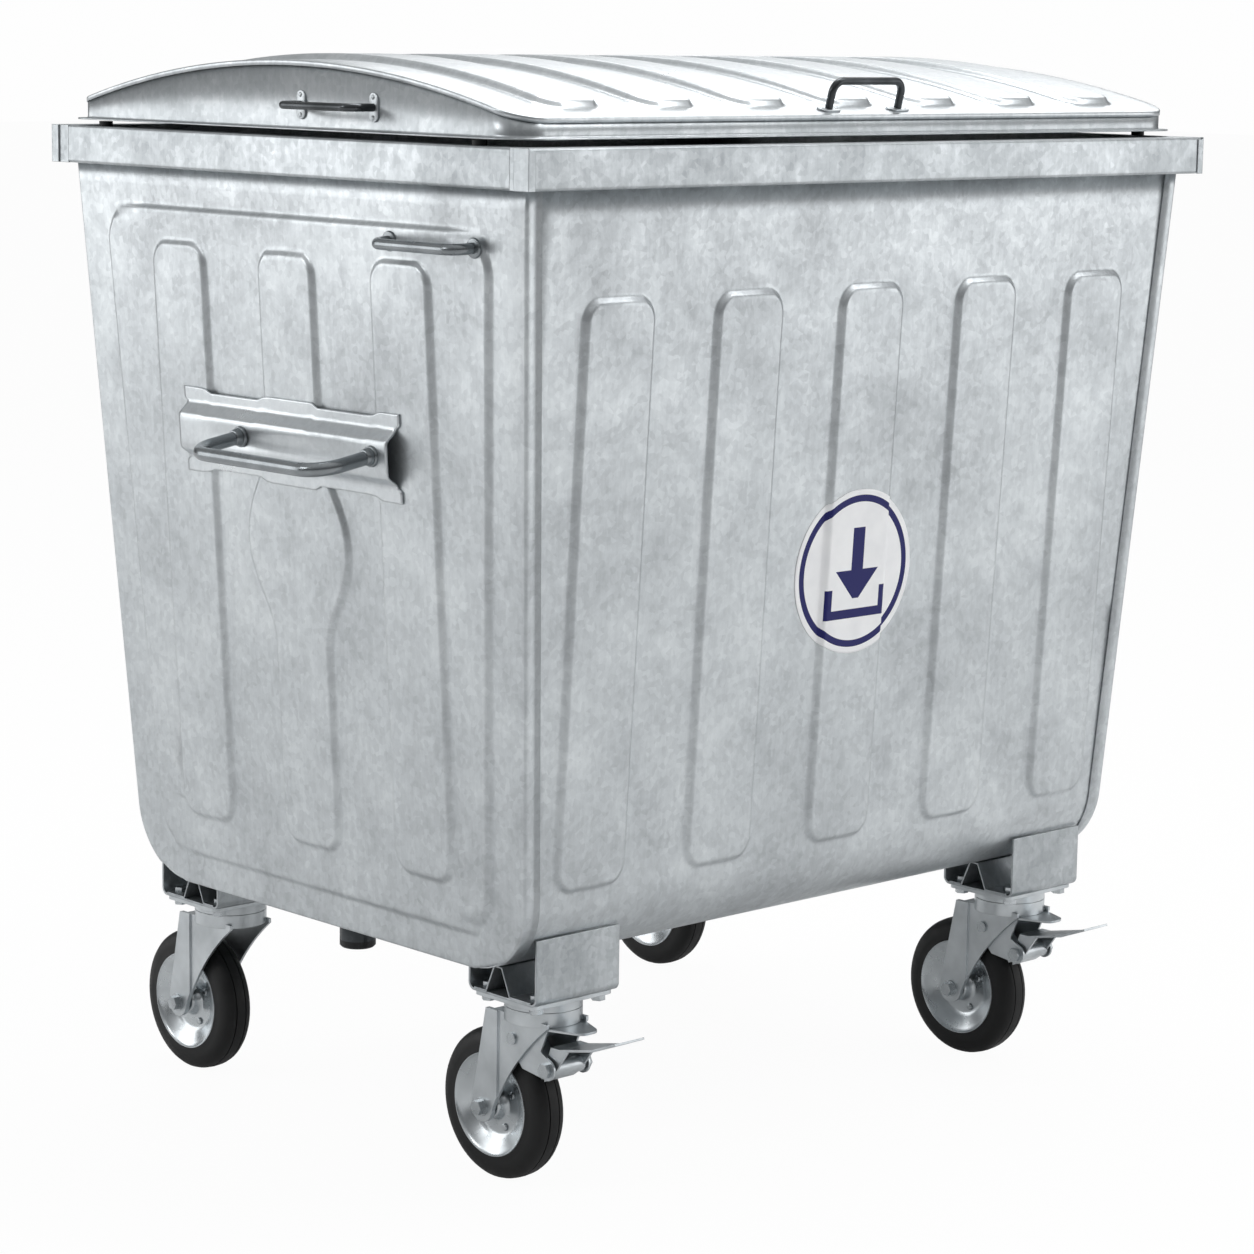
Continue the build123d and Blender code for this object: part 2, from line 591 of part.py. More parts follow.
lug_low = LID_BASE + LID_FLANGE_THICKNESS
with BuildPart() as lid_lugs:
    for _, side in SIDES:
        with BuildSketch(Plane.YZ.offset(side * HINGE_X - HINGE_LUG_THICKNESS / 2)):
            with BuildLine():
                Polyline(
                    (LID_REAR, lug_low),
                    (HINGE_PIN_Y, HINGE_PIN_Z - HINGE_LUG_RADIUS),
                    (HINGE_PIN_Y, HINGE_PIN_Z + HINGE_LUG_RADIUS),
                    (LID_REAR, HINGE_PIN_Z + HINGE_LUG_RADIUS / 2),
                    close=True,
                )
            make_face()
            with Locations((HINGE_PIN_Y, HINGE_PIN_Z)):
                Circle(HINGE_LUG_RADIUS)
                Circle(HINGE_PIN_RADIUS + HINGE_RUNNING_GAP, mode=Mode.SUBTRACT)
        extrude(amount=HINGE_LUG_THICKNESS)
lid_lugs.part.label = "lid_lugs"
export_step(lid_lugs.part, "parts/lid_lugs.step")


def bow_path(plane, half_span, reach, bend, droop=0.0, lift=0.0):
    """A U-shaped rod path standing on a plane, its bar along the plane's X axis."""
    corners = [(-half_span, 0, lift), (-half_span, -droop, reach), (half_span, -droop, reach), (half_span, 0, lift)]
    return FilletPolyline(*[plane.from_local_coords(Vector(*p)) for p in corners], radius=bend)


def bend_rod(path, radius):
    """A round rod along a path of straight runs and bends, in the part being built."""
    for run in path.edges():
        with BuildSketch(Plane(origin=run @ 0, z_dir=run % 0), mode=Mode.PRIVATE) as section:
            Circle(radius)
        if run.geom_type == GeomType.LINE:
            extrude(section.sketch, amount=run.length)
        else:
            spindle = Axis(run.arc_center, (run @ 0 - run.arc_center).cross(run % 0))
            revolve(section.sketch, axis=spindle, revolution_arc=degrees(run.length / run.radius))


# Handle plates: pressed saddles across the three ribs, with flat ears and lobes on the ribs' crests
crest = PANEL_STEP + SIDE_RIB_DEPTH
lobe_places = (-(PLATE_HALF_LENGTH - 18), 0, PLATE_HALF_LENGTH - 18)
lobe_widths = (36, 84, 36)
for side_name, side in SIDES:
    seat = side_face(side, PLATE_MIDDLE, crest + SEAT_GAP)
    section_plane = Plane(origin=seat.origin, x_dir=seat.y_dir, z_dir=seat.x_dir)
    out = -section_plane.y_dir.dot(seat.z_dir)
    half = PLATE_HEIGHT / 2
    mid = PLATE_THICKNESS / 2
    with BuildPart() as handle_plate:
        with BuildSketch(section_plane):
            with BuildLine() as saddle:
                FilletPolyline(
                    (-half, -out * mid),
                    (-half + PLATE_EAR_FLAT, -out * mid),
                    (-half + PLATE_EAR_FLAT + PLATE_SLOPE_RUN, -out * (mid + PLATE_BULGE)),
                    (half - PLATE_EAR_FLAT - PLATE_SLOPE_RUN, -out * (mid + PLATE_BULGE)),
                    (half - PLATE_EAR_FLAT, -out * mid),
                    (half, -out * mid),
                    radius=PLATE_BEND,
                )
            trace(saddle.edges(), line_width=PLATE_THICKNESS)
        extrude(amount=PLATE_HALF_LENGTH, both=True)
        with BuildSketch(seat):
            for y, up in ((half, 1), (-half, -1)):
                for x, width in zip(lobe_places, lobe_widths):
                    with Locations((x, y - up * PLATE_LOBE / 2)):
                        RectangleRounded(width + 2 * PLATE_EAR_REACH, 3 * PLATE_LOBE, PLATE_LOBE)
                for x in (lobe_places[0], lobe_places[2]):
                    with Locations((x, y - up * PLATE_LOBE / 2)):
                        Circle(PLATE_HOLE_RADIUS, mode=Mode.SUBTRACT)
        extrude(amount=PLATE_THICKNESS)
        with BuildSketch(seat):
            with Locations(*[(x, u * (half - PLATE_LOBE / 2)) for x in (lobe_places[0], lobe_places[2]) for u in (1, -1)]):
                Circle(PLATE_HOLE_RADIUS)
        extrude(amount=PLATE_THICKNESS, mode=Mode.SUBTRACT)
    handle_plate.part.label = f"handle_plate_{side_name}"
    export_step(handle_plate.part, f"parts/handle_plate_{side_name}.step")

    face = side_face(side, PUSH_HEIGHT, crest + SEAT_GAP + PLATE_BULGE + PLATE_THICKNESS)
    face.origin = face.origin + Vector(0, -PUSH_MIDDLE, 0)
    with BuildPart() as push_handle:
        with BuildLine() as push_path:
            bow_path(face, PUSH_SPAN / 2, PUSH_REACH, PUSH_BEND, PUSH_DROOP, PUSH_ROOT_LIFT)
        bend_rod(push_path.line, PUSH_ROD_RADIUS)
        with BuildSketch(face):
            with Locations((-PUSH_SPAN / 2, 0), (PUSH_SPAN / 2, 0)):
                Circle(PUSH_COLLAR_RADIUS)
        extrude(amount=PUSH_COLLAR_THICKNESS)
    push_handle.part.label = f"push_handle_{side_name}"
    export_step(push_handle.part, f"parts/push_handle_{side_name}.step")

    face = side_face(side, GRAB_HEIGHT, PANEL_STEP)
    face.origin = face.origin + Vector(0, -GRAB_MIDDLE, 0)
    with BuildPart() as grab_handle:
        with BuildLine() as grab_path:
            bow_path(face, GRAB_SPAN / 2, GRAB_REACH, GRAB_BEND)
        bend_rod(grab_path.line, GRAB_ROD_RADIUS)
        with BuildSketch(face):
            with Locations((-GRAB_SPAN / 2, 0), (GRAB_SPAN / 2, 0)):
                Circle(GRAB_FOOT_RADIUS)
        extrude(amount=GRAB_FOOT_THICKNESS)
    grab_handle.part.label = f"grab_handle_{side_name}"
    export_step(grab_handle.part, f"parts/grab_handle_{side_name}.step")


def lid_handle(plane, span, foot_length, foot_width):
    """A bowed rod on two oval feet, standing on a plane with its bar along the plane's X axis."""
    with BuildPart() as handle:
        with BuildLine() as path:
            bow_path(plane, span / 2, LID_HANDLE_REACH, LID_HANDLE_BEND)
        bend_rod(path.line, LID_ROD_RADIUS)
        with BuildSketch(plane):
            with Locations((-span / 2, 0), (span / 2, 0)):
                RectangleRounded(foot_length, foot_width, min(foot_length, foot_width) / 2 - SEAT_GAP)
        extrude(amount=LID_HANDLE_FOOT_THICKNESS)
    return handle.part


# Lid handles: one on the barrel at the front, one on each end wall
lean = asin(LID_HANDLE_Y / LID_ARCH_RADIUS)
foot_drop = LID_HANDLE_FOOT_WIDTH**2 / 8 / LID_ARCH_RADIUS
front_plane = Plane(
    origin=(0, -LID_HANDLE_Y, arch_height(LID_HANDLE_Y) + foot_drop),
    x_dir=(1, 0, 0),
    z_dir=(0, -sin(lean), cos(lean)),
)
lid_handle_front = lid_handle(front_plane, LID_HANDLE_SPAN, LID_HANDLE_FOOT_LENGTH, LID_HANDLE_FOOT_WIDTH)
lid_handle_front.label = "lid_handle_front"
export_step(lid_handle_front, "parts/lid_handle_front.step")
with BuildPart() as lid_handles_side:
    for _, side in SIDES:
        end_plane = Plane(
            origin=(side * LID_HALF_WIDTH, -END_HANDLE_MIDDLE, END_HANDLE_HEIGHT),
            x_dir=(0, side, 0),
            z_dir=(side, 0, 0),
        )
        add(lid_handle(end_plane, END_HANDLE_SPAN, LID_HANDLE_FOOT_WIDTH, LID_HANDLE_FOOT_LENGTH))
lid_handles_side.part.label = "lid_handles_side"
export_step(lid_handles_side.part, "parts/lid_handles_side.step")

# Drain: a spout under the floor, and the plug that is pulled out of it downwards
spout_bottom = TUB_BOTTOM - DRAIN_LENGTH
with BuildPart() as drain_spout:
    with BuildSketch(Plane.XY.offset(spout_bottom)):
        with Locations((DRAIN_X, 0)):
            Circle(DRAIN_OUTER_RADIUS)
    extrude(amount=DRAIN_LENGTH)
    with BuildSketch(Plane.XY.offset(TUB_BOTTOM)):
        with Locations((DRAIN_X, 0)):
            Circle(DRAIN_FLANGE_RADIUS)
    extrude(amount=-DRAIN_FLANGE_THICKNESS)
    with BuildSketch(Plane.XY.offset(spout_bottom)):
        with Locations((DRAIN_X, 0)):
            Circle(DRAIN_BORE_RADIUS)
    extrude(amount=DRAIN_LENGTH, mode=Mode.SUBTRACT)
drain_spout.part.label = "drain_spout"
export_step(drain_spout.part, "parts/drain_spout.step")

with BuildPart() as drain_plug:
    with BuildSketch(Plane.XY.offset(spout_bottom)):
        with Locations((DRAIN_X, 0)):
            Circle(DRAIN_OUTER_RADIUS)
    extrude(amount=-PLUG_HEAD)
    with BuildSketch(Plane.XY.offset(spout_bottom)):
        with Locations((DRAIN_X, 0)):
            Circle(DRAIN_BORE_RADIUS - PLUG_GAP)
    extrude(amount=PLUG_SHANK)
    chamfer(drain_plug.edges().group_by(Axis.Z)[0], 2.5)
drain_plug.part.label = "drain_plug"
export_step(drain_plug.part, "parts/drain_plug.step")

# Caster brackets: bent channels under the tub's corners, with the tall flange outside
plate_top = BRACKET_BOTTOM + BRACKET_SHEET
foot_top = plate_top + STIFFENER_SHEET
bolt_grid = [(i * BOLT_SPACING_X / 2, j * BOLT_SPACING_Y / 2) for i in (-1, 1) for j in (-1, 1)]
with BuildPart() as bracket_stiffeners:
    for _, side, end in CORNERS:
        low = plate_top + STIFFENER_SHEET / 2
        high = TUB_BOTTOM - STIFFENER_SHEET / 2
        with BuildSketch(Plane.YZ.offset(side * CASTER_X - BRACKET_HALF_LENGTH)):
            with BuildLine() as hat:
                Polyline(
                    (end * (CASTER_Y - STIFFENER_REACH), low),
                    (end * (CASTER_Y - STIFFENER_HUMP), low),
                    (end * (CASTER_Y - STIFFENER_HUMP / 2), high),
                    (end * (CASTER_Y + STIFFENER_CREST - STIFFENER_HUMP / 2), high),
                    (end * (CASTER_Y + STIFFENER_CREST), low),
                    (end * (CASTER_Y + STIFFENER_REACH), low),
                )
            trace(hat.edges(), line_width=STIFFENER_SHEET)
        extrude(amount=2 * BRACKET_HALF_LENGTH)
        with BuildSketch(Plane.XY.offset(plate_top)):
            with Locations((side * CASTER_X, end * CASTER_Y)):
                with Locations(*bolt_grid):
                    Circle(BOLT_HOLE_RADIUS)
        extrude(amount=STIFFENER_SHEET, mode=Mode.SUBTRACT)
bracket_stiffeners.part.label = "bracket_stiffeners"
export_step(bracket_stiffeners.part, "parts/bracket_stiffeners.step")

for corner, side, end in CORNERS:
    half_sheet = BRACKET_SHEET / 2
    inner_y = end * (CASTER_Y - BRACKET_HALF_DEPTH + half_sheet)
    outer_y = end * (CASTER_Y + BRACKET_HALF_DEPTH - half_sheet)
    with BuildPart() as bracket:
        with BuildSketch(Plane.YZ.offset(side * CASTER_X - BRACKET_HALF_LENGTH)):
            with BuildLine() as channel:
                FilletPolyline(
                    (inner_y, TUB_BOTTOM),
                    (inner_y, BRACKET_BOTTOM + half_sheet),
                    (outer_y, BRACKET_BOTTOM + half_sheet),
                    (outer_y, BRACKET_FLANGE_TOP),
                    radius=BRACKET_BEND,
                )
            trace(channel.edges(), line_width=BRACKET_SHEET)
        extrude(amount=2 * BRACKET_HALF_LENGTH)
        with BuildSketch(Plane.XY.offset(BRACKET_BOTTOM)):
            with Locations((side * CASTER_X, end * CASTER_Y)):
                with Locations(*bolt_grid):
                    Circle(BOLT_HOLE_RADIUS)
        extrude(amount=BRACKET_SHEET, mode=Mode.SUBTRACT)
    bracket.part.label = f"caster_bracket_{corner}"
    export_step(bracket.part, f"parts/caster_bracket_{corner}.step")

# Caster bolts: hexagon bolts down through stiffener, bracket and top plate, with nuts below
nut_top = BRACKET_BOTTOM - TOP_PLATE_THICKNESS
with BuildPart() as caster_bolts:
    for _, side, end in CORNERS:
        place = Location((side * CASTER_X, end * CASTER_Y))
        with BuildSketch(Plane.XY.offset(foot_top)):
            with Locations(place):
                with Locations(*bolt_grid):
                    RegularPolygon(BOLT_HEX_RADIUS, 6)
        extrude(amount=BOLT_HEAD)
        with BuildSketch(Plane.XY.offset(nut_top)):
            with Locations(place):
                with Locations(*bolt_grid):
                    RegularPolygon(BOLT_HEX_RADIUS, 6)
        extrude(amount=-BOLT_NUT)
        with BuildSketch(Plane.XY.offset(nut_top)):
            with Locations(place):
                with Locations(*bolt_grid):
                    Circle(BOLT_RADIUS)
        extrude(amount=foot_top - nut_top)
caster_bolts.part.label = "caster_bolts"
export_step(caster_bolts.part, "parts/caster_bolts.step")

# Top plates of the casters, each with the upper ring of the swivel race
with BuildPart() as caster_top_plates:
    for _, side, end in CORNERS:
        place = Location((side * CASTER_X, end * CASTER_Y))
        with BuildSketch(Plane.XY.offset(nut_top)):
            with Locations(place):
                RectangleRounded(TOP_PLATE_LENGTH, TOP_PLATE_DEPTH, TOP_PLATE_CORNER)
                with Locations(*bolt_grid):
                    Circle(BOLT_HOLE_RADIUS, mode=Mode.SUBTRACT)
        extrude(amount=TOP_PLATE_THICKNESS)
        with BuildSketch(Plane.XY.offset(nut_top)):
            with Locations(place):
                Circle(RACE_RADIUS)
                Circle(RACE_BORE, mode=Mode.SUBTRACT)
        extrude(amount=RACE_BOTTOM - nut_top)
        with Locations((side * CASTER_X, end * CASTER_Y, BRACKET_BOTTOM)):
            CounterBoreHole(
                KINGPIN_RADIUS + RUNNING_GAP,
                KINGPIN_HEAD_RADIUS + RUNNING_GAP,
                KINGPIN_HEAD + SEAT_GAP,
                depth=TOP_PLATE_THICKNESS,
            )
caster_top_plates.part.label = "caster_top_plates"
export_step(caster_top_plates.part, "parts/caster_top_plates.step")

# Kingpins: flush heads in the top plates, shanks through the crowns, nuts under them
with BuildPart() as kingpins:
    for _, side, end in CORNERS:
        place = Location((side * CASTER_X, end * CASTER_Y))
        nut_face = CROWN_UNDERSIDE - SEAT_GAP
        with BuildSketch(Plane.XY.offset(BRACKET_BOTTOM - SEAT_GAP)):
            with Locations(place):
                Circle(KINGPIN_HEAD_RADIUS)
        extrude(amount=-KINGPIN_HEAD)
        with BuildSketch(Plane.XY.offset(nut_face)):
            with Locations(place):
                Circle(KINGPIN_RADIUS)
        extrude(amount=BRACKET_BOTTOM - SEAT_GAP - nut_face)
        with BuildSketch(Plane.XY.offset(nut_face)):
            with Locations(place):
                RegularPolygon(KINGPIN_NUT_RADIUS, 6)
        extrude(amount=-KINGPIN_NUT)
kingpins.part.label = "kingpins"
export_step(kingpins.part, "parts/kingpins.step")


def fork_side(front_y):
    """Side outline of a fork leg from a front line back to the rear edge, in the caster's own Y and Z."""
    with BuildSketch(Plane.YZ) as leg:
        with BuildLine():
            Line((-FORK_NOSE, CROWN_UNDERSIDE + CROWN_PLATE), (FORK_REAR_TOP, CROWN_UNDERSIDE + CROWN_PLATE))
            Line((FORK_REAR_TOP, CROWN_UNDERSIDE + CROWN_PLATE), (CASTER_TRAIL + FORK_END_RADIUS, WHEEL_RADIUS))
            ThreePointArc(
                (CASTER_TRAIL + FORK_END_RADIUS, WHEEL_RADIUS),
                (CASTER_TRAIL, WHEEL_RADIUS - FORK_END_RADIUS),
                (CASTER_TRAIL - FORK_END_RADIUS, WHEEL_RADIUS),
            )
            ThreePointArc(
                (CASTER_TRAIL - FORK_END_RADIUS, WHEEL_RADIUS),
                (CASTER_TRAIL - 3 * FORK_END_RADIUS, WHEEL_RADIUS + 3.3 * FORK_END_RADIUS),
                (-FORK_NOSE, CROWN_UNDERSIDE),
            )
            Line((-FORK_NOSE, CROWN_UNDERSIDE), (-FORK_NOSE, CROWN_UNDERSIDE + CROWN_PLATE))
        make_face()
        with BuildLine():
            Polyline(
                (front_y, CROWN_UNDERSIDE + 3 * CROWN_PLATE),
                (front_y, WHEEL_RADIUS - 2 * FORK_END_RADIUS),
                (2 * CASTER_TRAIL, WHEEL_RADIUS - 2 * FORK_END_RADIUS),
                (2 * CASTER_TRAIL, CROWN_UNDERSIDE + 3 * CROWN_PLATE),
                close=True,
            )
        make_face(mode=Mode.INTERSECT)
    return leg.sketch


axle_plane = Plane(origin=(0, CASTER_TRAIL, WHEEL_RADIUS), x_dir=(0, 1, 0), z_dir=(1, 0, 0))
shoe_plane = Plane(origin=(0, SHOE_PIN_Y, SHOE_PIN_Z), x_dir=(0, 1, 0), z_dir=(1, 0, 0))
pedal_plane = Plane(origin=(0, PEDAL_PIN_Y, PEDAL_PIN_Z), x_dir=(0, 1, 0), z_dir=(1, 0, 0))

# Casters, each built about its own swivel axis and then set in place
for corner, side, end in CORNERS:
    side_name = corner.split("_")[1]
    place = Location((side * CASTER_X, end * CASTER_Y, 0))
    leg_shape = fork_side(-FORK_NOSE)
    strip_shape = fork_side(FORK_STRIP_FRONT)
    with BuildPart() as fork:
        with BuildSketch(Plane.XY.offset(CROWN_UNDERSIDE)):
            Circle(RACE_RADIUS)
        extrude(amount=CROWN_TOP - CROWN_UNDERSIDE)
        with BuildSketch(Plane.XY.offset(CROWN_UNDERSIDE + CROWN_PLATE)):
            Circle(CROWN_RING_BORE)
        extrude(amount=CROWN_TOP - CROWN_UNDERSIDE, mode=Mode.SUBTRACT)
        for leg in (-1, 1):
            inner_x = leg * FORK_HALF_GAP
            extrude(leg_shape.moved(Location((inner_x, 0, 0))), amount=leg * FORK_SHEET)
            extrude(
                strip_shape.moved(Location((inner_x + leg * FORK_SHEET, 0, 0))), amount=leg * FORK_STRIP_RISE
            )
        with BuildSketch(Plane.XY.offset(CROWN_UNDERSIDE)):
            with Locations((0, (FORK_REAR_TOP - FORK_NOSE) / 2)):
                Rectangle(2 * FORK_HALF_GAP, FORK_REAR_TOP + FORK_NOSE - 2 * TOP_PLATE_CORNER)
        extrude(amount=CROWN_PLATE)
        with BuildSketch(Plane.XY.offset(CROWN_UNDERSIDE)):
            Circle(KINGPIN_RADIUS + RUNNING_GAP)
        extrude(amount=CROWN_TOP, mode=Mode.SUBTRACT)
        with BuildSketch(axle_plane):
            Circle(AXLE_RADIUS + RUNNING_GAP)
        extrude(amount=RACE_RADIUS, both=True, mode=Mode.SUBTRACT)
        if end < 0:
            with BuildSketch(shoe_plane):
                Circle(SHOE_PIN_RADIUS + RUNNING_GAP)
            extrude(amount=RACE_RADIUS, both=True, mode=Mode.SUBTRACT)
    fork.part.location = place
    fork.part.label = f"fork_{corner}"
    export_step(fork.part, f"parts/fork_{corner}.step")

    leg_face = FORK_HALF_GAP + FORK_SHEET + FORK_STRIP_RISE
    with BuildPart() as axle_bolt:
        with BuildSketch(axle_plane):
            Circle(AXLE_RADIUS)
        extrude(amount=leg_face, both=True)
        for reach in (-1, 1):
            with BuildSketch(axle_plane.offset(reach * leg_face)):
                Circle(AXLE_WASHER_RADIUS)
            extrude(amount=reach * AXLE_WASHER)
            with BuildSketch(axle_plane.offset(reach * (leg_face + AXLE_WASHER))):
                RegularPolygon(AXLE_HEX_RADIUS, 6)
            extrude(amount=reach * AXLE_HEAD)
    axle_bolt.part.location = place
    axle_bolt.part.label = f"axle_bolt_{corner}"
    export_step(axle_bolt.part, f"parts/axle_bolt_{corner}.step")

    with BuildPart() as bearing:
        with BuildSketch(axle_plane):
            Circle(BEARING_RADIUS)
            Circle(AXLE_RADIUS + RUNNING_GAP, mode=Mode.SUBTRACT)
        extrude(amount=FORK_HALF_GAP - SEAT_GAP, both=True)
    bearing.part.location = place
    bearing.part.label = f"bearing_{corner}"
    export_step(bearing.part, f"parts/bearing_{corner}.step")

    wheel_section = Plane(origin=axle_plane.origin, x_dir=(1, 0, 0), z_dir=(0, 1, 0))
    axle_line = Axis(axle_plane.origin, (1, 0, 0))
    with BuildPart() as wheel_rim:
        with BuildSketch(wheel_section):
            with BuildLine():
                Polyline(
                    (-HUB_HALF_LENGTH, BEARING_RADIUS),
                    (HUB_HALF_LENGTH, BEARING_RADIUS),
                    (HUB_HALF_LENGTH, HUB_RADIUS),
                    (DISC_HALF_THICKNESS, HUB_ROOT_RADIUS),
                    (DISC_HALF_THICKNESS, DISC_RADIUS),
                    (TYRE_HALF_WIDTH, RIM_SEAT_RADIUS),
                    (-TYRE_HALF_WIDTH, RIM_SEAT_RADIUS),
                    (-DISC_HALF_THICKNESS, DISC_RADIUS),
                    (-DISC_HALF_THICKNESS, HUB_ROOT_RADIUS),
                    (-HUB_HALF_LENGTH, HUB_RADIUS),
                    close=True,
                )
            make_face()
        revolve(axis=axle_line)
    wheel_rim.part.location = place
    wheel_rim.part.label = f"wheel_rim_{corner}"
    export_step(wheel_rim.part, f"parts/wheel_rim_{corner}.step")

    with BuildPart() as tyre:
        with BuildSketch(wheel_section):
            with BuildLine():
                Polyline(
                    (-TYRE_HALF_WIDTH, RIM_SEAT_RADIUS),
                    (TYRE_HALF_WIDTH, RIM_SEAT_RADIUS),
                    (TYRE_HALF_WIDTH, SHOULDER_RADIUS),
                    (TREAD_HALF_WIDTH, WHEEL_RADIUS),
                    (-TREAD_HALF_WIDTH, WHEEL_RADIUS),
                    (-TYRE_HALF_WIDTH, SHOULDER_RADIUS),
                    close=True,
                )
            make_face()
        revolve(axis=axle_line)
    tyre.part.location = place
    tyre.part.label = f"tyre_{corner}"
    export_step(tyre.part, f"parts/tyre_{corner}.step")

    if end > 0:
        continue

    cheek_outer = FORK_HALF_GAP - SEAT_GAP
    cheek_inner = cheek_outer - CHEEK_SHEET
    nose_top = CROWN_UNDERSIDE - SEAT_GAP
    with BuildPart() as brake_housing:
        with BuildSketch(Plane.YZ.offset(-cheek_outer)):
            with BuildLine():
                Polyline(
                    (26, nose_top),
                    (26, 188),
                    (4, 165),
                    (PEDAL_PIN_Y + 6, PEDAL_PIN_Z - CHEEK_LOBE_RADIUS + 1),
                    (PEDAL_PIN_Y - 6, PEDAL_PIN_Z + CHEEK_LOBE_RADIUS - 2),
                    (-30, 194),
                    (-44, nose_top),
                    close=True,
                )
            make_face()
            with Locations((PEDAL_PIN_Y, PEDAL_PIN_Z)):
                Circle(CHEEK_LOBE_RADIUS)
                Circle(PEDAL_PIN_RADIUS + RUNNING_GAP, mode=Mode.SUBTRACT)
            with Locations((SHOE_PIN_Y, SHOE_PIN_Z)):
                Circle(SHOE_PIN_RADIUS + RUNNING_GAP, mode=Mode.SUBTRACT)
        extrude(amount=CHEEK_SHEET)
        mirror(about=Plane.YZ)
        with BuildSketch(Plane.XY.offset(nose_top)):
            with BuildLine():
                Polyline(
                    (-cheek_outer, NOSE_START_Y),
                    (cheek_outer, NOSE_START_Y),
                    (cheek_outer, NOSE_START_Y - 26),
                    (NOSE_TIP_RADIUS, NOSE_TIP_Y),
                    (-NOSE_TIP_RADIUS, NOSE_TIP_Y),
                    (-cheek_outer, NOSE_START_Y - 26),
                    close=True,
                )
            nose = make_face()
            fillet(nose.vertices().group_by(Axis.Y)[0], NOSE_TIP_RADIUS)
        extrude(amount=-NOSE_SHEET)
    brake_housing.part.location = place
    brake_housing.part.label = f"brake_housing_{side_name}"
    export_step(brake_housing.part, f"parts/brake_housing_{side_name}.step")

    with BuildPart() as brake_pins:
        with BuildSketch(pedal_plane):
            Circle(PEDAL_PIN_RADIUS)
        extrude(amount=cheek_outer, both=True)
        with BuildSketch(shoe_plane):
            Circle(SHOE_PIN_RADIUS)
        extrude(amount=FORK_HALF_GAP + FORK_SHEET, both=True)
        for reach in (-1, 1):
            with BuildSketch(pedal_plane.offset(reach * cheek_outer)):
                RegularPolygon(PEDAL_PIN_HEAD_RADIUS, 6)
            extrude(amount=reach * PEDAL_PIN_HEAD)
            with BuildSketch(shoe_plane.offset(reach * (FORK_HALF_GAP + FORK_SHEET))):
                Circle(SHOE_PIN_HEAD_RADIUS)
            extrude(amount=reach * SHOE_PIN_HEAD)
    brake_pins.part.location = place
    brake_pins.part.label = f"brake_pins_{side_name}"
    export_step(brake_pins.part, f"parts/brake_pins_{side_name}.step")

    with BuildPart() as brake_shoe:
        with BuildSketch(shoe_plane):
            Circle(SHOE_EYE_RADIUS)
        extrude(amount=cheek_inner - SEAT_GAP, both=True)
        with BuildSketch(Plane.YZ):
            with BuildLine() as shoe_line:
                CenterArc(
                    (CASTER_TRAIL, WHEEL_RADIUS),
                    WHEEL_RADIUS + SHOE_GAP + SHOE_THICKNESS / 2,
                    SHOE_START,
                    SHOE_SWEEP,
                )
            trace(shoe_line.edges(), line_width=SHOE_THICKNESS)
        extrude(amount=SHOE_HALF_WIDTH, both=True)
        with BuildSketch(shoe_plane):
            Circle(SHOE_PIN_RADIUS + RUNNING_GAP)
        extrude(amount=cheek_outer, both=True, mode=Mode.SUBTRACT)
    brake_shoe.part.location = place
    brake_shoe.part.label = f"brake_shoe_{side_name}"
    export_step(brake_shoe.part, f"parts/brake_shoe_{side_name}.step")

    cam_angle = radians(-60)
    with BuildPart() as brake_pedal:
        with BuildSketch(Plane.YZ):
            with BuildLine() as pedal_line:
                Polyline((PEDAL_PIN_Y, PEDAL_ROOT[1]), PEDAL_ROOT, PEDAL_BEND, PEDAL_TIP)
            trace(pedal_line.edges(), line_width=PEDAL_SHEET)
        extrude(amount=PEDAL_HALF_WIDTH, both=True)
        for reach in (-1, 1):
            with BuildSketch(pedal_plane.offset(reach * PEDAL_HALF_WIDTH)):
                Circle(PEDAL_HUB_RADIUS)
                with BuildLine():
                    Polyline(
                        (PEDAL_HUB_RADIUS, 0),
                        (0, PEDAL_ROOT[1] - PEDAL_PIN_Z),
                        (PEDAL_BEND[0] / 2 - PEDAL_PIN_Y - 16, PEDAL_ROOT[1] - PEDAL_PIN_Z + 3),
                        (-PEDAL_HUB_RADIUS, 0),
                        close=True,
                    )
                make_face()
            extrude(amount=-reach * PEDAL_LUG)
        with BuildSketch(pedal_plane):
            Circle(PEDAL_HUB_RADIUS)
            with BuildLine():
                Polyline(
                    (0, -PEDAL_HUB_RADIUS),
                    (PEDAL_CAM_REACH * cos(cam_angle), PEDAL_CAM_REACH * sin(cam_angle)),
                    (PEDAL_HUB_RADIUS, 0),
                    close=True,
                )
            make_face()
        extrude(amount=PEDAL_HALF_WIDTH, both=True)
        with BuildSketch(pedal_plane):
            Circle(PEDAL_PIN_RADIUS + RUNNING_GAP)
        extrude(amount=cheek_outer, both=True, mode=Mode.SUBTRACT)
    brake_pedal.part.location = place
    brake_pedal.part.label = f"brake_pedal_{side_name}"
    export_step(brake_pedal.part, f"parts/brake_pedal_{side_name}.step")
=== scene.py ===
# %% [markdown]
# # A galvanised waste container on four casters
# The container is folded, pressed and welded from thin sheet, then dipped in molten zinc. Its forms come
# from two sources here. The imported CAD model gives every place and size, and this script gives the pieces
# their soft press radii, rolled edges and finishes.

# %% Load the frame
from math import asin, atan, cos, hypot, pi, radians, sin, sqrt, tan

import bmesh
import bpy
from mathutils import Matrix, Vector


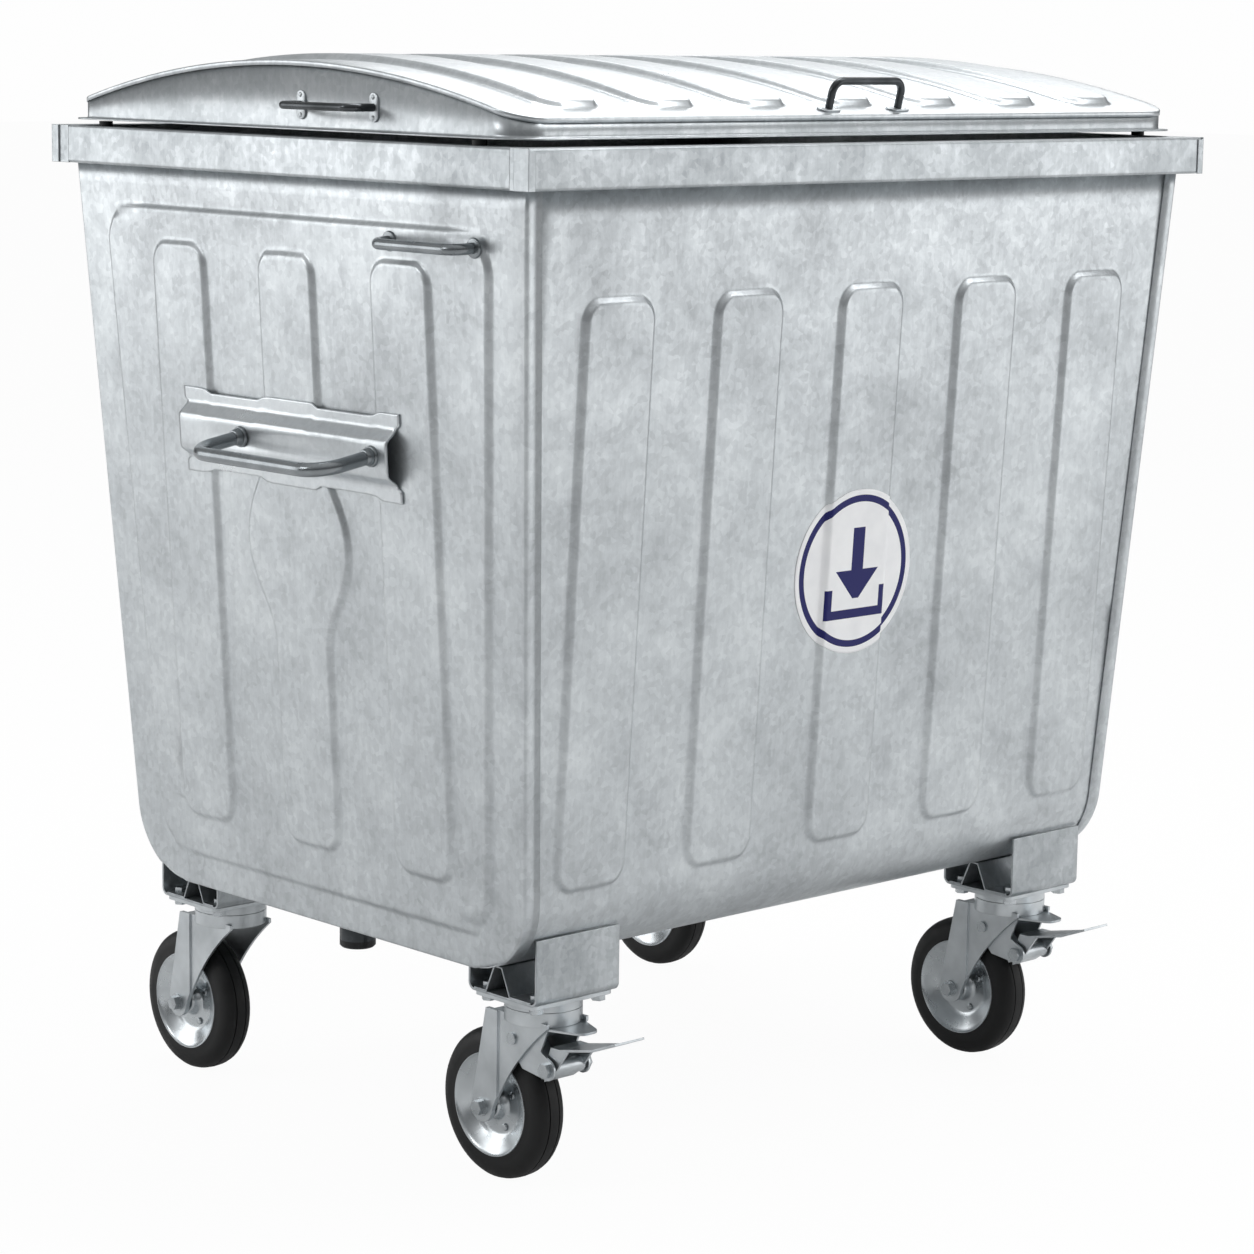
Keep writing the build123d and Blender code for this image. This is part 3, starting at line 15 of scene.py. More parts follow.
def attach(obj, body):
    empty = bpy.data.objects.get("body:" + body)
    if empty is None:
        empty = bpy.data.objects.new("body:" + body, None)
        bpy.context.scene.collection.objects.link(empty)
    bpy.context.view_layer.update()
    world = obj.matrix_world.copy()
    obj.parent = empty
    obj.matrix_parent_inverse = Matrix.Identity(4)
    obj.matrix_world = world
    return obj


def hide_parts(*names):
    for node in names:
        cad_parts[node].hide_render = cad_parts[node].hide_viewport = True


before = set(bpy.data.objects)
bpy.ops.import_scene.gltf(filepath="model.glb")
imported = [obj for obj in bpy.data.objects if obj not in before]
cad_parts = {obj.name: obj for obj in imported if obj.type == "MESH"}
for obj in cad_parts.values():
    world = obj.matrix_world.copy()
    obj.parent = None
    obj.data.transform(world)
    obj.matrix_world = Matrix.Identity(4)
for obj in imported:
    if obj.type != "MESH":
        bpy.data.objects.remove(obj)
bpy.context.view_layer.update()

# %% [markdown]
# ## Sizes of the container
# Lengths are written in millimetres as the maker's drawing would give them, and one short function turns
# them into Blender's metres. The tub tapers, so two functions give its half depth and half width at a height.

# %% Sizes
MM = 0.001
RIM_BOTTOM = 1278.0
TUB_BOTTOM = 304.0
TUB_HALF_WIDTH = (544.0, 604.0)
TUB_HALF_DEPTH = (398.0, 456.0)
WRAP_RADIUS = 100.0
SHEET = 2.0
TUB_HEIGHT = RIM_BOTTOM - TUB_BOTTOM
LID_HALF_WIDTH = 606.0
LID_FRONT = 443.0
LID_REAR = 437.0
LID_BASE = 1335.0
LID_PEAK = 1422.0
LID_ARCH_RADIUS = 1675.0
SIDES = (("left", -1), ("right", 1))
CORNERS = [(f"{end}_{side}", s, e) for end, e in (("front", -1), ("rear", 1)) for side, s in SIDES]


def half_width(z):
    """Half width of the tub at a height."""
    low, high = TUB_HALF_WIDTH
    return low + (high - low) * (z - TUB_BOTTOM) / TUB_HEIGHT


def half_depth(z):
    """Half depth of the tub at a height."""
    low, high = TUB_HALF_DEPTH
    return low + (high - low) * (z - TUB_BOTTOM) / TUB_HEIGHT


def arch(y):
    """Height of the lid's plain barrel at a depth."""
    return LID_PEAK - LID_ARCH_RADIUS + sqrt(LID_ARCH_RADIUS**2 - y**2)


print("half width at the rim", half_width(RIM_BOTTOM), "and at the floor", half_width(TUB_BOTTOM))

# %% [markdown]
# ## Small tools for materials
# Every finish is a node tree. One function adds a node with its settings and links, and one turns the hex
# value of a colour, as a paint chart gives it, into the linear numbers that Blender wants.

# %% Material tools


def linear(hex_colour):
    """sRGB hex to a linear RGBA tuple."""
    channels = [int(hex_colour[i : i + 2], 16) / 255 for i in (0, 2, 4)]
    return tuple(c / 12.92 if c <= 0.04045 else ((c + 0.055) / 1.055) ** 2.4 for c in channels) + (1.0,)


def add_node(tree, kind, links=None, values=None, **settings):
    """Adds a node, sets its properties and input values, and links its inputs."""
    node = tree.nodes.new(kind)
    for key, value in settings.items():
        setattr(node, key, value)
    for key, value in (values or {}).items():
        node.inputs[key].default_value = value
    for key, source in (links or {}).items():
        tree.links.new(source, node.inputs[key])
    return node


def new_material(name):
    """An empty material with its tree, its surface shader and its object coordinates."""
    material = bpy.data.materials.new(name)
    material.use_nodes = True
    tree = material.node_tree
    tree.nodes.clear()
    shader = add_node(tree, "ShaderNodeBsdfPrincipled")
    add_node(tree, "ShaderNodeOutputMaterial", {"Surface": shader.outputs[0]})
    place = add_node(tree, "ShaderNodeTexCoord").outputs["Object"]
    return material, tree, shader, place


def ramp(tree, source, stops):
    """A colour ramp from (position, hex colour) stops."""
    node = add_node(tree, "ShaderNodeValToRGB", {"Fac": source})
    while len(node.color_ramp.elements) < len(stops):
        node.color_ramp.elements.new(0.5)
    for element, (position, colour) in zip(node.color_ramp.elements, stops):
        element.position = position
        element.color = linear(colour)
    return node.outputs["Color"]


def span(tree, source, low, high, from_low=0.0, from_high=1.0):
    """Maps a value from one range to another."""
    return add_node(
        tree,
        "ShaderNodeMapRange",
        {"Value": source},
        {"From Min": from_low, "From Max": from_high, "To Min": low, "To Max": high},
    ).outputs["Result"]


def noise(tree, place, size_mm, **values):
    """Noise with a grain of a size in millimetres."""
    settings = {key.capitalize(): value for key, value in values.items()}
    settings["Scale"] = 1 / (size_mm * MM)
    return add_node(tree, "ShaderNodeTexNoise", {"Vector": place}, settings).outputs["Fac"]


def mix(tree, a, b, share):
    """Two values mixed, with a share of the second."""
    node = add_node(tree, "ShaderNodeMix", {"A": a, "B": b}, {"Factor": share}, data_type="FLOAT")
    return node.outputs["Result"]


def rounded_edges(tree, edge_mm):
    """The link that gives a bump node edges of a radius, for shapes whose own edges are sharp."""
    if not edge_mm:
        return {}
    return {"Normal": add_node(tree, "ShaderNodeBevel", values={"Radius": edge_mm * MM}, samples=6).outputs[0]}


# %% [markdown]
# ## Hot-dip galvanised steel
# Zinc freezes on the steel in flat crystals, the spangle, some 5 to 10 mm across, and dulls to a cloudy
# grey within weeks. To the eye that is a pale satin metal with soft clouds, faint crystal edges and short
# scuffs. Voronoi cells give the spangle, noise at two sizes gives the clouds, and noise drawn out along one
# direction gives the scuffs. The lid's sheet, its end walls, the rim and the saddle plates are the same metal,
# each a little lighter or darker.

# %% Galvanised finishes
MOTTLE_SHARE = 0.42
CRYSTAL_SHARE = 0.10
SCUFF_SHARE = 0.12
SCUFF_STRETCH = (1.0, 1.0, 0.12)


def galvanised(name, dark, middle, light, rough, spangle_mm=8.0, cloud_mm=190.0, edge_mm=0.0):
    """Hot-dipped zinc from three tones, a middle roughness and the sizes of its crystals and clouds."""
    material, tree, shader, place = new_material(name)
    clouds = noise(tree, place, cloud_mm, detail=7.0, roughness=0.62, distortion=0.35)
    mottle = noise(tree, place, 0.22 * cloud_mm, detail=6.0, roughness=0.7, distortion=0.8)
    spangle = add_node(
        tree, "ShaderNodeTexVoronoi", {"Vector": place}, {"Scale": 1 / (spangle_mm * MM), "Randomness": 1.0}
    ).outputs["Color"]
    crystal = add_node(tree, "ShaderNodeSeparateColor", {"Color": spangle}).outputs["Red"]
    drawn = add_node(tree, "ShaderNodeMapping", {"Vector": place}, {"Scale": SCUFF_STRETCH}).outputs[0]
    scuff = noise(tree, drawn, 5, detail=3.0, roughness=0.6)
    cloudy = mix(tree, clouds, mottle, MOTTLE_SHARE)
    worn = mix(tree, mix(tree, cloudy, crystal, CRYSTAL_SHARE), scuff, SCUFF_SHARE)
    colour = ramp(tree, worn, [(0.30, dark), (0.50, middle), (0.70, light)])
    tree.links.new(colour, shader.inputs["Base Color"])
    tree.links.new(span(tree, worn, rough + 0.10, rough - 0.08, 0.3, 0.7), shader.inputs["Roughness"])
    relief = {"Height": worn, **rounded_edges(tree, edge_mm)}
    bump = add_node(tree, "ShaderNodeBump", relief, {"Strength": 0.14, "Distance": 1.2 * MM})
    tree.links.new(bump.outputs["Normal"], shader.inputs["Normal"])
    shader.inputs["Metallic"].default_value = 0.85
    return material


SHEET_ZINC = galvanised("galvanised_sheet_hot_dipped", "A2A6A9", "BDC2C5", "D6DBDD", 0.38)
LID_ZINC = galvanised("galvanised_lid_hot_dipped", "A3A8AB", "BBC0C3", "D4D8DA", 0.32)
RIM_ZINC = galvanised("galvanised_section_hot_dipped", "8F9497", "A9AEB1", "C6CBCE", 0.36, edge_mm=1.4)
FRAME_ZINC = galvanised("galvanised_end_wall_hot_dipped", "979C9F", "AFB4B7", "CACED0", 0.34)
PLATE_ZINC = galvanised("galvanised_saddle_plate_hot_dipped", "B6BBBE", "C6CBCE", "D6DADC", 0.31, spangle_mm=7.0)
galvanised_finishes = (SHEET_ZINC, LID_ZINC, RIM_ZINC, FRAME_ZINC, PLATE_ZINC)
print("galvanised finishes:", ", ".join(finish.name for finish in galvanised_finishes))

# %% [markdown]
# ## Bright zinc plate, dark rod, rubber and plastic
# Caster pressings are electroplated, so they are smoother and brighter than the dipped tub, with fine die
# marks. The lid's handles are a darker, oiled rod. The tyres are black solid rubber: very dark, broad soft
# gloss and a dusty tread. The drain plug is black moulded plastic with a fine grain.

# %% Plated, dark and rubber finishes


def plated(name, dark, light, rough, grain_mm=1.2, edge_mm=0.9):
    """Smooth plated or drawn metal from two tones and a middle roughness."""
    material, tree, shader, place = new_material(name)
    haze = noise(tree, place, 45, detail=4.0, roughness=0.5)
    grain = noise(tree, place, grain_mm, detail=2.0)
    tree.links.new(ramp(tree, haze, [(0.32, dark), (0.68, light)]), shader.inputs["Base Color"])
    tree.links.new(span(tree, haze, rough + 0.04, rough - 0.03, 0.3, 0.7), shader.inputs["Roughness"])
    relief = {"Height": grain, **rounded_edges(tree, edge_mm)}
    bump = add_node(tree, "ShaderNodeBump", relief, {"Strength": 0.04, "Distance": 0.2 * MM})
    tree.links.new(bump.outputs["Normal"], shader.inputs["Normal"])
    shader.inputs["Metallic"].default_value = 0.95
    return material


def rubber(name, dark, light, rough, grain_mm):
    """Dark rubber or plastic with a fine grain and a little dust."""
    material, tree, shader, place = new_material(name)
    dust = noise(tree, place, 22, detail=6.0, roughness=0.65)
    grain = noise(tree, place, grain_mm, detail=3.0)
    tree.links.new(ramp(tree, dust, [(0.35, dark), (0.75, light)]), shader.inputs["Base Color"])
    tree.links.new(span(tree, dust, rough - 0.08, rough + 0.12, 0.3, 0.7), shader.inputs["Roughness"])
    bump = add_node(tree, "ShaderNodeBump", {"Height": grain}, {"Strength": 0.25, "Distance": 0.3 * MM})
    tree.links.new(bump.outputs["Normal"], shader.inputs["Normal"])
    shader.inputs["Specular IOR Level"].default_value = 0.32
    return material


PRESSING_ZINC = plated("zinc_plated_pressing", "AFB4B7", "C6CBCE", 0.33)
SPUN_ZINC = plated("zinc_plated_wheel_centre", "B6BBBE", "CACFD2", 0.27, edge_mm=0.0)
DRAWN_ROD = plated("drawn_steel_rod", "7C8184", "93989B", 0.25, edge_mm=0.0)
FASTENER_ZINC = plated("zinc_plated_fastener", "A2A7AA", "C4C9CC", 0.25, grain_mm=0.8, edge_mm=0.6)
DARK_ROD = plated("dark_galvanised_rod", "3A3D3F", "54575A", 0.28, edge_mm=0.6)
TYRE_RUBBER = rubber("solid_rubber_tyre", "09090A", "171819", 0.50, 1.5)
PAD_RUBBER = rubber("moulded_rubber_pad", "0C0C0D", "1D1E1F", 0.55, 1.0)
DRAIN_PLASTIC = rubber("moulded_black_plastic", "101112", "232527", 0.42, 0.8)
plated_finishes = (PRESSING_ZINC, SPUN_ZINC, DRAWN_ROD, FASTENER_ZINC, DARK_ROD)
print("plated finishes:", ", ".join(finish.name for finish in plated_finishes))
print("dark finishes:", TYRE_RUBBER.name, PAD_RUBBER.name, DRAIN_PLASTIC.name)

# %% [markdown]
# ## Tools for meshes
# A finished bmesh becomes an object through one function, which also hangs it on the body that carries it and
# hides the plain CAD node that it stands for. A second function shows a CAD node's own shape in a finish. The
# finish rounds its sharp edges with the small radius that a punch or a press brake leaves.

# %% Mesh tools
WELD_MM = 0.02


def make_piece(name, bm, material, body, replaces=(), wall=0.0, sharp=40.0):
    """Turns a bmesh into an object that rides on a body."""
    mesh = bpy.data.meshes.new(name)
    bm.to_mesh(mesh)
    bm.free()
    mesh.materials.append(material)
    for face in mesh.polygons:
        face.use_smooth = True
    mesh.set_sharp_from_angle(angle=radians(sharp))
    piece = bpy.data.objects.new(name, mesh)
    bpy.context.scene.collection.objects.link(piece)
    if wall:
        solid = piece.modifiers.new("wall", "SOLIDIFY")
        solid.thickness = wall * MM
        solid.offset = -1.0
    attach(piece, body)
    if replaces:
        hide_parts(*replaces)
    return piece


def dress(node, material):
    """Shows a CAD node as it is, in a finish whose edges are rounded."""
    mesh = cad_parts[node].data
    mesh.materials.clear()
    mesh.materials.append(material)


def steps_between(low, high, coarse, marks=(), fine=4.0, reach=20.0):
    """Stations from low to high, close together near the marks and further apart elsewhere."""
    rounding = 1e-6
    stations = [low]
    while stations[-1] < high:
        here = stations[-1]
        near = any(mark - reach <= here + rounding and here < mark + reach for mark in marks)
        ahead = [mark - reach - here for mark in marks if mark - reach > here + fine]
        step = fine if near else min([coarse] + ahead)
        stations.append(min(here + step, high))
    if len(stations) > 2 and stations[-1] - stations[-2] < fine / 2:
        del stations[-2]
    return stations


def grid_of(columns, rows, place):
    """A grid whose points a function places from a column's and a row's value."""
    bm = bmesh.new()
    bmesh.ops.create_grid(bm, x_segments=len(columns) - 1, y_segments=len(rows) - 1, size=0.5)
    for point in bm.verts:
        i = round((point.co.x + 0.5) * (len(columns) - 1))
        j = round((point.co.y + 0.5) * (len(rows) - 1))
        point.co = Vector(place(columns[i], rows[j])) * MM
    return bm


def outline_distance(x, z, half_x, half_z, corner):
    """How far a point lies outside a rounded rectangle, negative inside."""
    dx = abs(x) - half_x + corner
    dz = abs(z) - half_z + corner
    return hypot(max(dx, 0), max(dz, 0)) + min(max(dx, dz), 0) - corner


def pressed(distance, slope):
    """Share of the press depth at a distance inside an outline, with soft radii at foot and crest."""
    t = min(max(-distance / slope, 0.0), 1.0)
    return t * t * (3 - 2 * t)


# %% [markdown]
# ## The wrap sheet
# Front, floor and rear of the tub are one sheet, bent through two large radii. Five ribs are pressed outwards
# at the front and five at the rear. A press draws the metal softly,
# so a grid follows the U of the tub and its points move outwards by a smooth function of their distance to
# each rib's outline. The grid is fine only near the ribs' edges. A Solidify modifier gives the wall.

# %% Wrap sheet
RIB_PITCH = 222.0
RIB_HALF_WIDTH = 61.0
RIB_TOP, RIB_FOOT = 1150.0, 405.0
RIB_CORNER = 34.0
RIB_DEPTH = 7.0
RIB_SLOPE = 8.5
RIB_EDGE = 5.0
BEND_STEPS = 12
PANEL_GAP = 0.3
rib_centres = [RIB_PITCH * (i - 2) for i in range(5)]
wall_lean = atan((TUB_HALF_DEPTH[1] - TUB_HALF_DEPTH[0]) / TUB_HEIGHT)
bend_reach = WRAP_RADIUS / tan((pi / 2 + wall_lean) / 2)
bend_y = TUB_HALF_DEPTH[0] - bend_reach
bend_z = TUB_BOTTOM + WRAP_RADIUS
bend_top = bend_z - WRAP_RADIUS * sin(wall_lean)


def rib_rise(x, z):
    """How far the front's ribs push the sheet out at a place."""
    middle, half = (RIB_TOP + RIB_FOOT) / 2, (RIB_TOP - RIB_FOOT) / 2
    nearest = min(rib_centres, key=lambda c: abs(x - c))
    distance = outline_distance(x - nearest, z - middle, RIB_HALF_WIDTH, half, RIB_CORNER)
    return RIB_DEPTH * pressed(distance, RIB_SLOPE)


def wrap_section():
    """Points and outward directions of the tub's U, from the front's top over the floor to the rear's top."""
    marks = (RIB_TOP - 6, RIB_FOOT + 6)
    heights = steps_between(bend_top, RIM_BOTTOM, 60.0, marks, fine=2.6, reach=30.0)
    half = [("wall", z, cos(wall_lean), -sin(wall_lean)) for z in reversed(heights)]
    turn = pi / 2 - wall_lean
    for k in range(1, BEND_STEPS):
        angle = wall_lean + turn * k / BEND_STEPS
        half.append(("bend", 0, cos(angle), -sin(angle)))
    section = []
    for kind, z, ny, nz in half:
        y = half_depth(z) if kind == "wall" else bend_y + WRAP_RADIUS * ny
        z = z if kind == "wall" else bend_z + WRAP_RADIUS * nz
        section.append((y, z, ny, nz))
    front = [(-y, z, -ny, nz) for y, z, ny, nz in section]
    floor = [(y, TUB_BOTTOM, 0.0, -1.0) for y in (-bend_y, -bend_y / 2, 0.0, bend_y / 2, bend_y)]
    return front + floor + list(reversed(section))


def place_on_wrap(x, spot):
    """A point of the wrap at a share of its width and a spot of its section."""
    y, z, ny, nz = spot
    rise = rib_rise(x * half_width(RIM_BOTTOM), z) if abs(ny) > 0.9 else 0.0
    wide = min(abs(x) * half_width(RIM_BOTTOM), half_width(z) - SHEET - PANEL_GAP)
    return (wide if x > 0 else -wide, y + ny * rise, z + nz * rise)


rib_edges = [c + s * (RIB_HALF_WIDTH - RIB_EDGE) for c in rib_centres for s in (-1, 1)]
top_half = half_width(RIM_BOTTOM)
wrap_columns = [x / top_half for x in steps_between(-top_half, top_half, 45.0, rib_edges, fine=2.2, reach=18.0)]
wrap = grid_of(wrap_columns, wrap_section(), place_on_wrap)
bmesh.ops.remove_doubles(wrap, verts=wrap.verts, dist=WELD_MM * MM)
bmesh.ops.recalc_face_normals(wrap, faces=wrap.faces)
wrap.faces.ensure_lookup_table()
lowest = min(wrap.faces, key=lambda f: f.calc_center_median().z)
if lowest.normal.z > 0:
    bmesh.ops.reverse_faces(wrap, faces=wrap.faces)
wrap_shown = make_piece("wrap_sheet_shown", wrap, SHEET_ZINC, "tub", ("wrap_sheet",), wall=SHEET)
print("wrap sheet faces:", len(wrap_shown.data.polygons))

# %% [markdown]
# ## The side panels
# Each end of the tub is a separate pressing: a dished field, three upright ribs, the middle one with a round
# ladle, and a flange folded back over the wrap sheet. The grid's outline follows the tub, rounded at the
# bottom, and the field and ribs are again moved out by smooth functions. The flange is then extruded from
# the grid's edge in small turns, as a folding machine would bend it.

# %% Side panels
FIELD_TOP, FIELD_FOOT = 1230.0, 345.0
FIELD_MARGIN = 58.0
FIELD_CORNER = 60.0
FIELD_DEPTH = 6.0
SIDE_RIB_PITCH = 226.0
SIDE_RIB_HALF = 59.0
SIDE_RIB_TOP, SIDE_RIB_FOOT = 1186.0, 404.0
SIDE_RIB_DEPTH = 6.0
SIDE_SLOPE = 8.0
LADLE_RADIUS, LADLE_Z = 107.0, 808.0
LADLE_FILLET = 46.0
MIDDLE_Z = 800.0
FOLD = 4.0
FOLD_TURNS = 4
FLANGE = 25.0


def smooth_union(a, b, blend):
    """The union of two outlines' distances with a fillet where they meet."""
    h = max(blend - abs(a - b), 0.0) / blend
    return min(a, b) - h * h * blend / 4


def side_rise(y, z):
    """How far a side panel's field and ribs push the sheet out."""
    middle, half = (FIELD_TOP + FIELD_FOOT) / 2, (FIELD_TOP - FIELD_FOOT) / 2
    field = outline_distance(y, z - middle, half_depth(z) - FIELD_MARGIN, half, FIELD_CORNER)
    centre, reach = (SIDE_RIB_TOP + SIDE_RIB_FOOT) / 2, (SIDE_RIB_TOP - SIDE_RIB_FOOT) / 2
    nearest = min((-SIDE_RIB_PITCH, 0.0, SIDE_RIB_PITCH), key=lambda c: abs(y - c))
    rib = outline_distance(y - nearest, z - centre, SIDE_RIB_HALF, reach, RIB_CORNER)
    if nearest == 0.0:
        rib = smooth_union(rib, hypot(y, z - LADLE_Z) - LADLE_RADIUS, LADLE_FILLET)
    return FIELD_DEPTH * pressed(field, SIDE_SLOPE) + SIDE_RIB_DEPTH * pressed(rib, SIDE_SLOPE)


def tub_edge(z, grow):
    """Half depth of the tub's outline at a height, grown outwards, round at the bottom."""
    if z >= bend_top:
        return half_depth(z) + grow / cos(wall_lean)
    drop = min(bend_z - z, WRAP_RADIUS + grow)
    return bend_y + sqrt((WRAP_RADIUS + grow) ** 2 - drop**2)


def edge_direction(y, z):
    """Outward direction of the tub's outline at a point near it, seen from the side."""
    if z >= bend_top:
        return Vector((0, cos(wall_lean) * (1 if y > 0 else -1), -sin(wall_lean)))
    if abs(y) <= bend_y:
        return Vector((0, 0, -1))
    return Vector((0, y - bend_y if y > 0 else y + bend_y, z - bend_z)).normalized()


def folded_edges(edges):
    """The open edges among some, apart from those along the panel's top."""
    top = (RIM_BOTTOM - 0.5) * MM
    return [e for e in edges if e.is_boundary and not all(v.co.z > top for v in e.verts)]


def fold_flange(bm, side):
    """Extrudes the panel's side and bottom edges round a small radius and back over the wrap."""
    rim = folded_edges(bm.edges)
    for k in range(1, FOLD_TURNS + 2):
        grown = bmesh.ops.extrude_edge_only(bm, edges=rim)["geom"]
        rim = folded_edges([g for g in grown if isinstance(g, bmesh.types.BMEdge)])
        moved = {v for e in rim for v in e.verts}
        a, b = pi / 2 * (k - 1) / FOLD_TURNS, pi / 2 * k / FOLD_TURNS
        out = FOLD * (sin(b) - sin(a)) if k <= FOLD_TURNS else 0.0
        back = FOLD * (cos(a) - cos(b)) if k <= FOLD_TURNS else FLANGE - FOLD
        for v in moved:
            v.co += edge_direction(v.co.y / MM, v.co.z / MM) * out * MM + Vector((-side * back * MM, 0, 0))
            v.co.z = min(v.co.z, RIM_BOTTOM * MM)


def side_panel_grid(bottom):
    """Columns, as shares of the half depth, and rows, close together where the press has edges."""
    field_edge = half_depth(MIDDLE_Z) - FIELD_MARGIN
    outer_ribs = (-SIDE_RIB_PITCH, SIDE_RIB_PITCH)
    marks = [c + s * (SIDE_RIB_HALF - RIB_EDGE) for c in (0.0, *outer_ribs) for s in (-1, 1)]
    marks += [c + s * (SIDE_RIB_HALF - 24) for c in outer_ribs for s in (-1, 1)]
    marks += [s * (LADLE_RADIUS - back) for s in (-1, 1) for back in (3, 20, 37)]
    marks += [-field_edge, field_edge]
    shares = [mark / half_depth(MIDDLE_Z) for mark in marks]
    columns = steps_between(-1.0, 1.0, 0.09, shares, fine=0.0055, reach=0.04)
    z_marks = [SIDE_RIB_TOP, SIDE_RIB_FOOT, FIELD_TOP - 8, FIELD_FOOT + 8]
    z_marks += [LADLE_Z + step for step in range(-150, 121, 30)]
    return columns, steps_between(bottom, RIM_BOTTOM, 40.0, z_marks, fine=2.8, reach=30.0)


def side_panel(side_name, side):
    """One end of the tub with its pressed field, ribs and flange."""
    grow = SHEET - FOLD
    columns, rows = side_panel_grid(TUB_BOTTOM - grow)

    def place(t, z):
        y = t * tub_edge(z, grow)
        rise = side_rise(y, z)
        return (side * (half_width(z) + rise), y, z)

    bm = grid_of(columns, rows, place)
    fold_flange(bm, side)
    bmesh.ops.remove_doubles(bm, verts=bm.verts, dist=WELD_MM * MM)
    bmesh.ops.recalc_face_normals(bm, faces=bm.faces)
    bm.faces.ensure_lookup_table()
    outermost = max(bm.faces, key=lambda f: side * f.calc_center_median().x)
    if outermost.normal.x * side < 0:
        bmesh.ops.reverse_faces(bm, faces=bm.faces)
    node = f"side_panel_{side_name}"
    return make_piece(f"{node}_shown", bm, SHEET_ZINC, "tub", (node,), wall=SHEET)


for side_name, side in SIDES:
    panel = side_panel(side_name, side)
    print(panel.name, "faces:", len(panel.data.polygons))

# %% [markdown]
# ## The lid sheet
# The lid is a sheet rolled to a shallow barrel. Seven ribs run over it from front to rear, and its edge is
# hemmed down over the frame. The same grid method serves.

# %% Lid sheet
LID_RIB_PITCH = 160.0
LID_RIB_HALF = 50.0
LID_RIB_FRONT, LID_RIB_REAR = 415.0, 408.0
LID_RIB_CORNER = 38.0
LID_RIB_DEPTH = 8.0
LID_SLOPE = 10.0
LID_GROW = -0.5
HEM_DROP = 5.0
LID_SHEET = 1.2
LID_CORNERS = (45.0, 14.0)
lid_rib_centres = [LID_RIB_PITCH * (i - 3) for i in range(7)]


def lid_rise(x, y):
    """How far the lid's ribs push the sheet up at a place."""
    middle, half = (LID_RIB_REAR - LID_RIB_FRONT) / 2, (LID_RIB_REAR + LID_RIB_FRONT) / 2
    nearest = min(lid_rib_centres, key=lambda c: abs(x - c))
    distance = outline_distance(x - nearest, y - middle, LID_RIB_HALF, half, LID_RIB_CORNER)
    return LID_RIB_DEPTH * pressed(distance, LID_SLOPE)


def lid_half_width(y, grow):
    """Half width of the lid's outline at a depth, round at its corners."""
    for limit, corner, sign in ((LID_FRONT, LID_CORNERS[0], -1), (LID_REAR, LID_CORNERS[1], 1)):
        into = sign * y - (limit - corner)
        if into > 0:
            bend = corner + grow
            return LID_HALF_WIDTH - corner + sqrt(max(bend**2 - into**2, 0.0))
    return LID_HALF_WIDTH + grow


def lid_away(x, y):
    """Outward direction of the lid's outline near a point, from above."""
    corner = LID_CORNERS[0] if y < 0 else LID_CORNERS[1]
    cx = LID_HALF_WIDTH - corner
    cy = -(LID_FRONT - corner) if y < 0 else LID_REAR - corner
    dx = max(abs(x) - cx, 0.0) * (1 if x > 0 else -1)
    dy = min(y - cy, 0.0) if y < 0 else max(y - cy, 0.0)
    return Vector((dx, dy, 0)).normalized()


def place_on_lid(t, y):
    """A point of the lid's sheet at a share of its width and a depth."""
    x = t * lid_half_width(y, LID_GROW)
    rise = lid_rise(x, y)
    lean = y / LID_ARCH_RADIUS
    return (x, y + rise * lean, arch(y) + rise)


lid_marks = [(c + s * (LID_RIB_HALF - RIB_EDGE)) / LID_HALF_WIDTH for c in lid_rib_centres for s in (-1, 1)]
lid_columns = steps_between(-1.0, 1.0, 0.08, lid_marks, fine=0.0042, reach=0.03)
front_edge, rear_edge = -LID_FRONT - LID_GROW, LID_REAR + LID_GROW
row_marks = (-LID_RIB_FRONT + 8, LID_RIB_REAR - 8, front_edge, rear_edge)
lid_rows = steps_between(front_edge, rear_edge, 30.0, row_marks, fine=2.8, reach=34.0)
lid = grid_of(lid_columns, lid_rows, place_on_lid)
hem = [e for e in lid.edges if e.is_boundary]
for out, down in ((1.0, -0.3), (0.7, -0.7), (0.3, -1.0), (0.0, -HEM_DROP)):
    grown = bmesh.ops.extrude_edge_only(lid, edges=hem)["geom"]
    hem = [g for g in grown if isinstance(g, bmesh.types.BMEdge) and g.is_boundary]
    for v in {v for e in hem for v in e.verts}:
        v.co += (lid_away(v.co.x / MM, v.co.y / MM) * out + Vector((0, 0, down))) * MM
bmesh.ops.recalc_face_normals(lid, faces=lid.faces)
highest = max(lid.faces, key=lambda f: f.calc_center_median().z)
if highest.normal.z < 0:
    bmesh.ops.reverse_faces(lid, faces=lid.faces)
lid_shown = make_piece("lid_sheet_shown", lid, LID_ZINC, "lid", ("lid_sheet",), wall=LID_SHEET)
print("lid sheet faces:", len(lid_shown.data.polygons))

# %% [markdown]
# ## The lid's frame
# Under the sheet runs a band: two arched end walls and low skirts at front and rear, with a flange turned
# outwards at the foot. It starts as one flat face whose corners are bevelled, and its outline is then
# extruded inwards along the flange, round a small radius and up to the barrel.

# %% Lid frame
FLANGE_OUT = 13.0
FLANGE_Z = LID_BASE + 3.0


